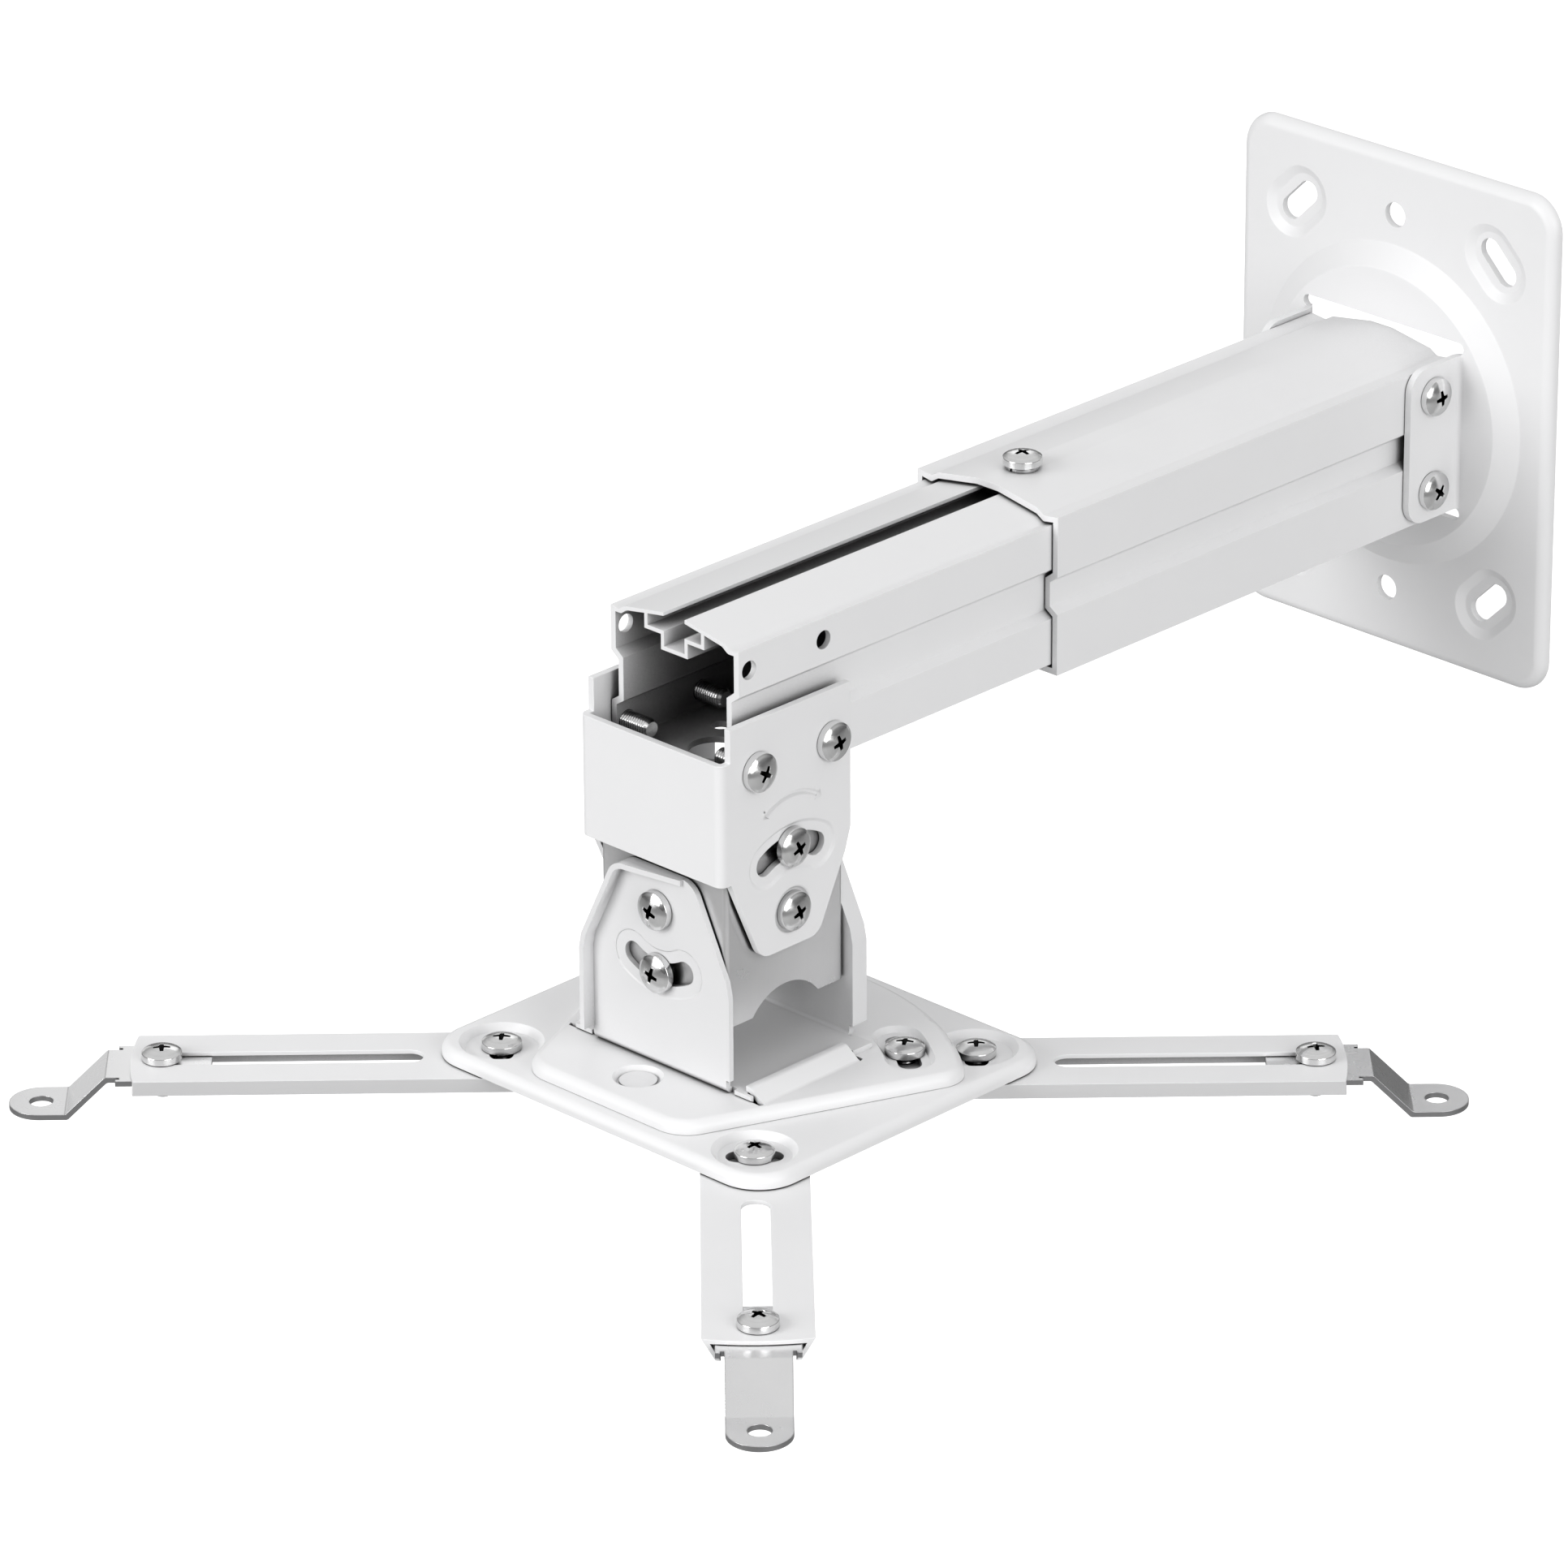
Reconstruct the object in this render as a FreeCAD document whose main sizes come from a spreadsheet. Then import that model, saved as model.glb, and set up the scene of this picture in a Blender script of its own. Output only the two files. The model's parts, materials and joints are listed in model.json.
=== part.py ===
import FreeCAD, Part
import functools
import math
import os
import re
import Sketcher

# Telescopic projector mount, set up as a wall arm.
# Origin: centre of the wall plate's back face. The wall is the plane y = 0, the arm points to -Y, +Z is up.

# Driving dimensions in millimetres and degrees. Each one is a cell of the sheet.
SIZES = {
    # Fasteners: one pan head for the whole product
    "head_radius": 5.2,
    "head_side": 2.1,
    "head_dome": 1.3,
    "head_flat_radius": 2.0,
    "shank_radius": 2.75,
    "shank_play": 0.35,
    "thread_play": 0.1,
    "screw_length": 10.0,
    "long_screw_length": 13.0,
    "short_screw_length": 5.6,
    "clamp_screw_length": 12.2,
    "corner_screw_length": 8.0,
    "hex_nut_width": 8.0,
    "hex_nut_height": 4.0,
    # Small gap between faces that slide on each other
    "face_gap": 0.1,
    "seat_gap": 0.05,
    # Wall plate, pressed from one sheet
    "plate_width": 110.0,
    "plate_height": 142.0,
    "plate_corner": 10.0,
    "plate_sheet": 2.0,
    "plate_depth": 3.5,
    "plate_roll": 3.3,
    "boss_radius": 45.5,
    "boss_rise": 4.0,
    "boss_slope": 6.3,
    "anchor_x": 35.0,
    "anchor_z": 49.0,
    "anchor_length": 14.6,
    "anchor_width": 6.5,
    "anchor_land_length": 18.0,
    "anchor_land_width": 12.0,
    "anchor_sink": 1.5,
    "anchor_slope": 2.5,
    "round_hole_radius": 3.5,
    "round_hole_z": 54.0,
    "lance_relief": 3.4,
    "tab_half_height": 22.0,
    "tab_reach": 27.2,
    "tab_sheet": 2.0,
    "tab_bend": 1.2,
    "tab_corner": 6.0,
    "tab_gap": 0.3,
    "tab_screw_y": 18.0,
    "tab_screw_z": 13.5,
    # Inner tube, extruded, and its nut channel under the crown
    "inner_width": 45.0,
    "inner_length": 165.0,
    "inner_wall": 1.7,
    "inner_floor": 20.5,
    "ledge_height": 18.2,
    "ledge_sheet": 1.5,
    "dip_x": 19.7,
    "dip_height": 17.6,
    "shoulder_x": 17.3,
    "shoulder_height": 19.1,
    "crown_height": 21.4,
    "crown_sheet": 1.0,
    "groove_depth": 2.6,
    "groove_top": 5.9,
    "groove_top_slope": 2.0,
    "groove_low": 7.8,
    "groove_low_slope": 1.7,
    "slot_width": 7.4,
    "nut_channel_width": 18.8,
    "nut_channel_floor": 16.35,
    "shank_channel_width": 7.2,
    "shank_channel_floor": 12.2,
    "channel_wall": 1.1,
    "floor_hole_radius": 7.0,
    "floor_hole_y": 2.0,
    "drain_hole_radius": 2.5,
    "drain_hole_x": 9.0,
    "drain_hole_y": 9.0,
    # Outer tube, extruded, slides over the inner tube
    "outer_wall": 1.7,
    "side_gap": 0.55,
    "rise_gap": 0.9,
    "groove_play": 0.5,
    "outer_back": 8.0,
    "outer_front": 163.2,
    "clamp_y": 149.9,
    "washer_radius": 4.4,
    "washer_height": 1.2,
    "washer_split": 0.6,
    "channel_nut_height": 2.6,
    "channel_nut_length": 12.0,
    "channel_nut_play": 0.3,
    # Head: the upper bracket on the tube's end
    "head_reach": 261.0,
    "tube_overhang": 16.2,
    "bracket_sheet": 2.0,
    "bracket_gap": 0.5,
    "bracket_front": 25.5,
    "bracket_back": 21.0,
    "bracket_fold": 2.5,
    "wall_top": 9.4,
    "wall_low": 42.6,
    "cheek_top": 0.4,
    "cheek_step": 3.5,
    "cheek_low": 9.9,
    "cheek_low_front": 11.4,
    "cheek_low_back": 9.2,
    "cheek_low_corner": 5.0,
    "cheek_back_break": 40.0,
    "cheek_back_slope": 46.4,
    "cheek_back_inset": 2.0,
    "fix_ahead": 12.5,
    "fix_behind": 14.0,
    "fix_screw_z": 14.2,
    "fix_spare_z": 12.3,
    "spare_hole_radius": 2.5,
    # Both hinge axes of the head and their arc slots
    "pivot_drop": 56.4,
    "arc_radius": 17.6,
    "arc_half_angle": 31.0,
    "emboss_margin": 3.3,
    "pivot_emboss": 1.2,
    "tilt_emboss": 0.7,
    "roll_emboss": 0.3,
    "tilt_gap": 0.8,
    "roll_gap": 0.4,
    # Middle box of bare steel
    "box_sheet": 1.5,
    "box_half_depth": 21.2,
    "box_above": 13.4,
    "box_below": 27.1,
    "box_fold": 1.5,
    "ear_above": 7.8,
    "ear_half_width": 14.0,
    "ear_corner": 6.0,
    "notch_half_chord": 11.8,
    "notch_radius": 14.8,
    # Lower bracket: a yoke whose two cheeks are flanged on one side each
    "yoke_sheet": 1.5,
    "yoke_half_width": 24.9,
    "yoke_above": 10.9,
    "yoke_top_half": 12.3,
    "yoke_top_corner": 6.0,
    "yoke_break_x": 24.0,
    "yoke_break_z": 12.9,
    "yoke_side_z": 17.1,
    "yoke_fold": 2.3,
    "flange_reach": 3.7,
    "flange_tip": 1.0,
    "flange_end_x": 9.0,
    "flange_taper_x": 8.0,
    "base_half_width": 31.4,
    "base_half_depth": 22.0,
    "base_top": 98.9,
    "base_relief": 1.2,
    # Adapter plate: a pressed fan that turns on the rivet
    "pan_sheet": 2.0,
    "pan_roll": 2.5,
    "pan_sink": 1.5,
    "rivet_ahead": 30.8,
    "fan_front": 13.2,
    "fan_front_half": 27.5,
    "fan_radius": 83.0,
    "fan_half_angle": 44.5,
    "fan_front_corner": 10.0,
    "fan_back_corner": 8.0,
    "rivet_head_radius": 4.9,
    "rivet_head": 0.6,
    "rivet_radius": 3.0,
    "rivet_tail_radius": 5.0,
    "rivet_tail": 1.2,
    "rivet_play": 0.05,
    "rivet_land": 5.4,
    "pan_slope": 1.2,
    "yaw_radius": 69.5,
    "yaw_angle": 32.5,
    "yaw_half_travel": 5.5,
    "hook_ahead": 20.5,
    "hook_behind": 14.3,
    "hook_relief": 1.3,
    "hook_root_x": 34.2,
    "hook_knee_x": 29.7,
    "hook_lip_x": 28.2,
    "hook_rise": 3.1,
    "hook_sheet": 1.5,
    "window_inner_x": 27.0,
    # Spider plate
    "spider_width": 121.0,
    "spider_depth": 108.0,
    "spider_behind": 5.4,
    "spider_corner": 12.0,
    "spider_pan": 3.7,
    "corner_x": 45.35,
    "corner_y": 40.4,
    "corner_travel": 4.2,
    "corner_sink": 2.0,
    "corner_slope": 1.5,
    # Arm channels and their tongues
    "arm_half_width": 13.8,
    "arm_sheet": 1.2,
    "arm_height": 5.6,
    "arm_inset": 3.4,
    "arm_inner_end": 13.0,
    "arm_length": 95.0,
    "arm_end_bow": 1.3,
    "arm_slot_start": 20.0,
    "arm_slot_width": 7.2,
    "tongue_screw_inset": 8.0,
    "tongue_sheet": 1.5,
    "tongue_tail": 12.7,
    "tongue_half_width": 10.5,
    "shoulder_ahead": 3.5,
    "strap_half_width": 8.25,
    "strap_relief": 1.0,
    "bend_ahead": 6.3,
    "strap_drop": 10.4,
    "foot_ahead": 23.3,
    "foot_hole_radius": 3.05,
    "collar_radius": 4.2,
    "collar_height": 1.8,
}

doc = FreeCAD.newDocument("projector_mount")
sheet = doc.addObject("Spreadsheet::Sheet", "sizes")
for row, (alias, number) in enumerate(SIZES.items(), start=1):
    sheet.set(f"A{row}", alias)
    sheet.set(f"B{row}", str(number))
    sheet.setAlias(f"B{row}", alias)
doc.recompute()


def bound(formula):
    """A formula with every size name turned into a reference to its cell."""
    def reference(found):
        word = found.group(0)
        return f"sizes.{word}" if word in SIZES else word
    return re.sub(r"[a-z][a-z_]*", reference, str(formula))


@functools.lru_cache(maxsize=None)
def value(formula):
    """The present value of a formula of size names."""
    return float(sheet.evalExpression(bound(formula)))


def minus(formula):
    """The formula with its sign changed."""
    return f"-({formula})"


def plus(*formulas):
    """The sum of formulas."""
    return " + ".join(f"({formula})" for formula in formulas)


# Heights and places that several pieces share
inner_half = "inner_width / 2"
outer_half = plus(inner_half, "side_gap", "outer_wall")
bracket_inner = plus(inner_half, "bracket_gap")
bracket_half = plus(bracket_inner, "bracket_sheet")
box_half = f"{bracket_inner} - tilt_gap"
yoke_face = "box_half_depth + roll_gap + yoke_sheet"
yoke_floor = "base_top + yoke_sheet"
fan_depth = "pan_sheet + pan_sink"
spider_top = f"{yoke_floor} + {fan_depth} + face_gap"
spider_land = f"{spider_top} + corner_sink"
arm_top = f"{spider_land} + pan_sheet + face_gap"
shank_hole = "shank_radius + shank_play"
thread_hole = "shank_radius + thread_play"
crown_top = "crown_height + rise_gap + outer_wall"
rivet_y = "head_reach + rivet_ahead"
spider_y = "head_reach - spider_behind"
tongue_screw_x = "arm_length - tongue_screw_inset"
foot_hole_x = "arm_length + foot_ahead"


def vector(x, y, z=0.0):
    """A place or a direction."""
    return FreeCAD.Vector(x, y, z)


def new_body(label, x="0", y="0", z="0"):
    """A body with its own label, placed by formulas."""
    body = doc.addObject("PartDesign::Body", label)
    body.Label = label
    for axis, formula in zip("xyz", (x, y, z)):
        body.setExpression(f"Placement.Base.{axis}", bound(formula))
    return body


def new_sketch(body, plane, height="0"):
    """A sketch on one origin plane of the body, moved along the plane's normal."""
    sketch = body.newObject("Sketcher::SketchObject", f"{body.Name}_sketch")
    origin_plane = next(item for item in body.Origin.OriginFeatures if item.Role == plane)
    sketch.AttachmentSupport = [(origin_plane, "")]
    sketch.MapMode = "FlatFace"
    sketch.setExpression("AttachmentOffset.Base.z", bound(height))
    return sketch


def hold(sketch, kind, *where):
    """A geometric constraint."""
    sketch.addConstraint(Sketcher.Constraint(kind, *where))


def measure(sketch, kind, *where, formula):
    """A dimension of the sketch, driven by a formula."""
    index = sketch.addConstraint(Sketcher.Constraint(kind, *where, value(formula)))
    sketch.setExpression(f"Constraints[{index}]", bound(formula))


def pin_point(sketch, geometry, end, x, y):
    """Fix one point of the sketch at two formulas."""
    for kind, axis, formula in (("DistanceX", -2, x), ("DistanceY", -1, y)):
        if abs(value(formula)) < 1e-9:
            hold(sketch, "PointOnObject", geometry, end, axis)
        else:
            measure(sketch, kind, -1, 1, geometry, end, formula=formula)


def arc_middle(start, end, radius, side):
    """The middle point of an arc of under half a turn; side is 1 with the centre on the left."""
    chord = end - start
    half = chord.Length / 2
    across = vector(-chord.y, chord.x).normalize()
    to_centre = math.sqrt(max(radius * radius - half * half, 0.0))
    centre = (start + end) / 2 + across * (side * to_centre)
    return centre - across * (side * radius)


def spot_of(corner):
    """Present place of a corner whose first two items are formulas."""
    return vector(value(corner[0]), value(corner[1]))


def heading_to(start, goal):
    """Formulas of the unit vector from one corner to another."""
    run = f"(({goal[0]}) - ({start[0]}))"
    rise = f"(({goal[1]}) - ({start[1]}))"
    length = f"sqrt({run} * {run} + {rise} * {rise})"
    return f"({run} / {length})", f"({rise} / {length})"


def rounded_ends(before, corner, after):
    """Formulas of the two points where a corner's rounding leaves its sides."""
    back = heading_to(corner, before)
    onward = heading_to(corner, after)
    cosine = f"({back[0]} * {onward[0]} + {back[1]} * {onward[1]})"
    cut = f"({corner[2]}) * sqrt((1 + {cosine}) / (1 - {cosine}))"
    arrive = tuple(f"{corner[axis]} + {cut} * {back[axis]}" for axis in (0, 1))
    leave = tuple(f"{corner[axis]} + {cut} * {onward[axis]}" for axis in (0, 1))
    return arrive, leave


def place_arc(sketch, start, end, radius, side):
    """An arc between two places, pinned by its ends and radius; side is 1 with the centre on the left."""
    first = spot_of(start)
    last = spot_of(end)
    middle = arc_middle(first, last, value(radius), side)
    ends = (1, 2) if side > 0 else (2, 1)
    curve = Part.Arc(first, middle, last) if side > 0 else Part.Arc(last, middle, first)
    geometry = sketch.addGeometry(curve, False)
    pin_point(sketch, geometry, ends[0], *start)
    pin_point(sketch, geometry, ends[1], *end)
    measure(sketch, "Radius", geometry, formula=radius)


def outline(sketch, corners, arcs=None):
    """A closed outline. A corner is (x, y) or (x, y, rounding); arcs maps a side to (radius, side)."""
    arcs = arcs or {}
    count = len(corners)
    leave = []
    arrive = []
    for index, corner in enumerate(corners):
        if len(corner) > 2:
            after = corners[(index + 1) % count]
            came, gone = rounded_ends(corners[index - 1], corner, after)
            turn = (spot_of(gone) - spot_of(corner)).cross(spot_of(came) - spot_of(corner)).z
            place_arc(sketch, came, gone, corner[2], 1 if turn > 0 else -1)
        else:
            came = gone = corner[:2]
        arrive.append(came)
        leave.append(gone)
    for index in range(count):
        start = leave[index]
        end = arrive[(index + 1) % count]
        if index in arcs:
            place_arc(sketch, start, end, *arcs[index])
        else:
            side = sketch.addGeometry(Part.LineSegment(spot_of(start), spot_of(end)), False)
            pin_point(sketch, side, 1, *start)
            pin_point(sketch, side, 2, *end)


def circle(sketch, x, y, radius):
    """A full circle around (x, y)."""
    full = Part.Circle(vector(value(x), value(y)), vector(0, 0, 1), value(radius))
    geometry = sketch.addGeometry(full, False)
    pin_point(sketch, geometry, 3, x, y)
    measure(sketch, "Radius", geometry, formula=radius)


def rectangle(sketch, first, opposite):
    """A rectangle between two opposite corners."""
    outline(sketch, [first, (opposite[0], first[1]), opposite, (first[0], opposite[1])])


def end_arc(sketch, x, y, radius, heading):
    """Half a circle around (x, y) that faces the heading, in degrees."""
    centre = vector(value(x), value(y))
    size = value(radius)
    start = math.radians(heading - 90)
    half = Part.Circle(centre, vector(0, 0, 1), size)
    geometry = sketch.addGeometry(Part.ArcOfCircle(half, start, start + math.pi), False)
    pin_point(sketch, geometry, 3, x, y)
    return geometry


def straight_slot(sketch, x, y, heading, half_run, half_width):
    """A slot with round ends; half_run is from its middle to the centre of an end."""
    along = vector(math.cos(math.radians(heading)), math.sin(math.radians(heading)))
    ends = []
    for sign, facing in (("+", heading), ("-", heading + 180)):
        end_x = f"{x} {sign} ({half_run}) * cos({heading})"
        end_y = f"{y} {sign} ({half_run}) * sin({heading})"
        ends.append(end_arc(sketch, end_x, end_y, half_width, facing))
    across = vector(-along.y, along.x) * value(half_width)
    far = vector(value(x), value(y)) + along * value(half_run)
    near = vector(value(x), value(y)) - along * value(half_run)
    left = sketch.addGeometry(Part.LineSegment(far + across, near + across), False)
    right = sketch.addGeometry(Part.LineSegment(near - across, far - across), False)
    hold(sketch, "Tangent", ends[0], 2, left, 1)
    hold(sketch, "Tangent", left, 2, ends[1], 1)
    hold(sketch, "Tangent", ends[1], 2, right, 1)
    hold(sketch, "Tangent", right, 2, ends[0], 1)
    measure(sketch, "Radius", ends[0], formula=half_width)
    hold(sketch, "Equal", ends[0], ends[1])


def arc_slot(sketch, x, y, radius, heading, half_angle, half_width):
    """A slot along an arc around (x, y); heading is the direction of its middle, in degrees."""
    far = plus(radius, half_width)
    near = plus(radius, minus(half_width))
    spots = {}
    for sign in ("-", "+"):
        turn = f"({heading} {sign} ({half_angle}))"
        for name, reach in (("far", far), ("near", near), ("middle", radius)):
            spots[name, sign] = (f"{x} + ({reach}) * cos({turn})", f"{y} + ({reach}) * sin({turn})")
    place_arc(sketch, spots["far", "-"], spots["far", "+"], far, 1)
    place_arc(sketch, spots["near", "-"], spots["near", "+"], near, 1)
    for sign, turn in (("-", -90), ("+", 90)):
        facing = value(f"{heading} {sign} ({half_angle})") + turn
        end = end_arc(sketch, *spots["middle", sign], half_width, facing)
        first, last = ("near", "far") if sign == "-" else ("far", "near")
        radial = Part.LineSegment(spot_of(spots[first, sign]), spot_of(spots[last, sign]))
        across = sketch.addGeometry(radial, True)
        pin_point(sketch, across, 1, *spots[first, sign])
        pin_point(sketch, across, 2, *spots[last, sign])
        hold(sketch, "Coincident", end, 1, across, 1)
        hold(sketch, "PointOnObject", end, 2, across)


def check_feature(feature):
    """Stop on a feature that failed or lost its shape."""
    doc.recompute()
    if "Invalid" in feature.State or "Error" in feature.State or feature.Shape.isNull():
        raise RuntimeError(f"{feature.Name} failed: {feature.State}")
    return feature


def pad(body, sketch, length, taper=None, reverse=False, both=False):
    """Raise the sketch; a negative taper draws the sides in."""
    feature = body.newObject("PartDesign::Pad", f"{body.Name}_pad")
    feature.Profile = sketch
    feature.setExpression("Length", bound(length))
    feature.Reversed = reverse
    if both:
        feature.SideType = "Symmetric"
    if taper:
        feature.setExpression("TaperAngle", bound(taper))
    return check_feature(feature)


def pocket(body, sketch, length=None, taper=None, reverse=False, both=False):
    """Sink the sketch, or cut right through where no length is given."""
    before = body.Tip.Shape.Volume
    feature = body.newObject("PartDesign::Pocket", f"{body.Name}_pocket")
    feature.Profile = sketch
    feature.Reversed = reverse
    if both:
        feature.SideType = "Symmetric"
    if length is None:
        feature.Type = "ThroughAll"
    else:
        feature.setExpression("Length", bound(length))
    if taper:
        feature.setExpression("TaperAngle", bound(taper))
    check_feature(feature)
    if feature.Shape.Volume >= before:
        raise RuntimeError(f"{feature.Name} cuts nothing")
    return feature


def straight_edges(feature, direction, spots):
    """Names of the edges along one axis that pass through the spots, each a point of that axis' plane."""
    others = [axis for axis in range(3) if axis != "xyz".index(direction)]
    names = []
    for index, edge in enumerate(feature.Shape.Edges, start=1):
        if len(edge.Vertexes) != 2:
            continue
        first = edge.Vertexes[0].Point
        last = edge.Vertexes[1].Point
        along = last - first
        if along.Length < 1e-6 or abs(along["xyz".index(direction)]) / along.Length < 0.9999:
            continue
        for spot in spots:
            gap = max(abs(first[axis] - value(place)) for axis, place in zip(others, spot))
            if gap < 1e-4:
                names.append(f"Edge{index}")
    return names


def face_edges(feature, direction, height, keep=lambda edge: True):
    """Names of the edges that lie wholly in the plane at one height along an axis."""
    axis = "xyz".index(direction)
    level = value(height)
    names = []
    for index, edge in enumerate(feature.Shape.Edges, start=1):
        box = edge.BoundBox
        low = (box.XMin, box.YMin, box.ZMin)[axis]
        high = (box.XMax, box.YMax, box.ZMax)[axis]
        if abs(low - level) < 1e-4 and abs(high - level) < 1e-4 and keep(edge):
            names.append(f"Edge{index}")
    return names


def plane_face(feature, direction, height):
    """Name of the largest flat face at one height along an axis."""
    axis = "xyz".index(direction)
    level = value(height)
    found = []
    for index, face in enumerate(feature.Shape.Faces, start=1):
        box = face.BoundBox
        low = (box.XMin, box.YMin, box.ZMin)[axis]
        high = (box.XMax, box.YMax, box.ZMax)[axis]
        if abs(low - level) < 1e-4 and abs(high - level) < 1e-4:
            found.append((face.Area, f"Face{index}"))
    return max(found)[1]


def fillet(body, radius, edges):
    """Round the named edges of the body's tip."""
    base = body.Tip
    if not edges:
        raise RuntimeError(f"{body.Label} has no edge to round")
    feature = body.newObject("PartDesign::Fillet", f"{body.Name}_fillet")
    feature.Base = (base, edges)
    feature.setExpression("Radius", bound(radius))
    return check_feature(feature)


def hollow(body, thickness, faces):
    """Turn the body's tip into a sheet that is open at the named faces."""
    base = body.Tip
    feature = body.newObject("PartDesign::Thickness", f"{body.Name}_shell")
    feature.Base = (base, faces)
    feature.setExpression("Value", bound(thickness))
    feature.Reversed = True
    feature.Join = "Intersection"
    check_feature(feature)
    if feature.Shape.Volume >= base.Shape.Volume:
        raise RuntimeError(f"{feature.Name} hollows nothing")
    return feature


def mirrored(corners):
    """Corners on the right, completed by their mirror images on the left."""
    return corners + [(minus(corner[0]), *corner[1:]) for corner in reversed(corners)]


def inset_angle(inset, depth):
    """Taper that draws a side in by the inset over the depth."""
    return f"-atan(({inset}) / ({depth}))"


subparts = []


def finish(piece):
    """Take a finished piece into the list of sub-parts."""
    subparts.append(piece)
    return piece


def pan_screw(label, length):
    """A pan head screw: head on top, its seat at z = 0 and the shank below."""
    body = new_body(label)
    profile = new_sketch(body, "XZ_Plane")
    corners = [
        ("0", "head_side + head_dome"),
        ("0", minus(length)),
        ("shank_radius", minus(length)),
        ("shank_radius", "0"),
        ("head_radius", "0"),
        ("head_radius", "head_side"),
        ("head_flat_radius", "head_side + head_dome"),
    ]
    outline(profile, corners)
    turned = body.newObject("PartDesign::Revolution", f"{label}_turned")
    turned.Profile = profile
    turned.ReferenceAxis = (profile, ["V_Axis"])
    turned.Angle = 360
    check_feature(turned)
    return body


def turn_to(direction):
    """Rotation that brings a screw's head side, +Z, to the given direction."""
    return FreeCAD.Rotation(vector(0, 0, 1), vector(*direction))


def linked(label, source, place, rotation=FreeCAD.Rotation()):
    """One more piece of a kind, placed by formulas."""
    link = doc.addObject("App::Link", label)
    link.LinkedObject = source
    link.Label = label
    link.Placement = FreeCAD.Placement(vector(0, 0), rotation)
    for axis, formula in zip("xyz", place):
        link.setExpression(f"Placement.Base.{axis}", bound(formula))
    return link


def group(label, source, places):
    """Identical fasteners as one node of separate solids; a place is (x, y, z, head direction)."""
    links = []
    for number, (x, y, z, direction) in enumerate(places, start=1):
        links.append(linked(f"{label}_{number}", source, (x, y, z), turn_to(direction)))
    compound = doc.addObject("Part::Compound", label)
    compound.Label = label
    compound.Links = links
    doc.recompute()
    return finish(compound)


def pressed_pan(body, corners, arcs, top, depth, sheet_size, roll, rounded):
    """A sheet tray with its floor on top, its rim below and rolled edges."""
    plan = new_sketch(body, "XY_Plane", minus(top))
    outline(plan, corners, arcs)
    block = pad(body, plan, depth, reverse=True)
    for spots, radius in rounded:
        block = fillet(body, radius, straight_edges(block, "z", spots))
    block = fillet(body, roll, face_edges(block, "z", minus(top)))
    return hollow(body, sheet_size, [plane_face(block, "z", minus(plus(top, depth)))])


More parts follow.
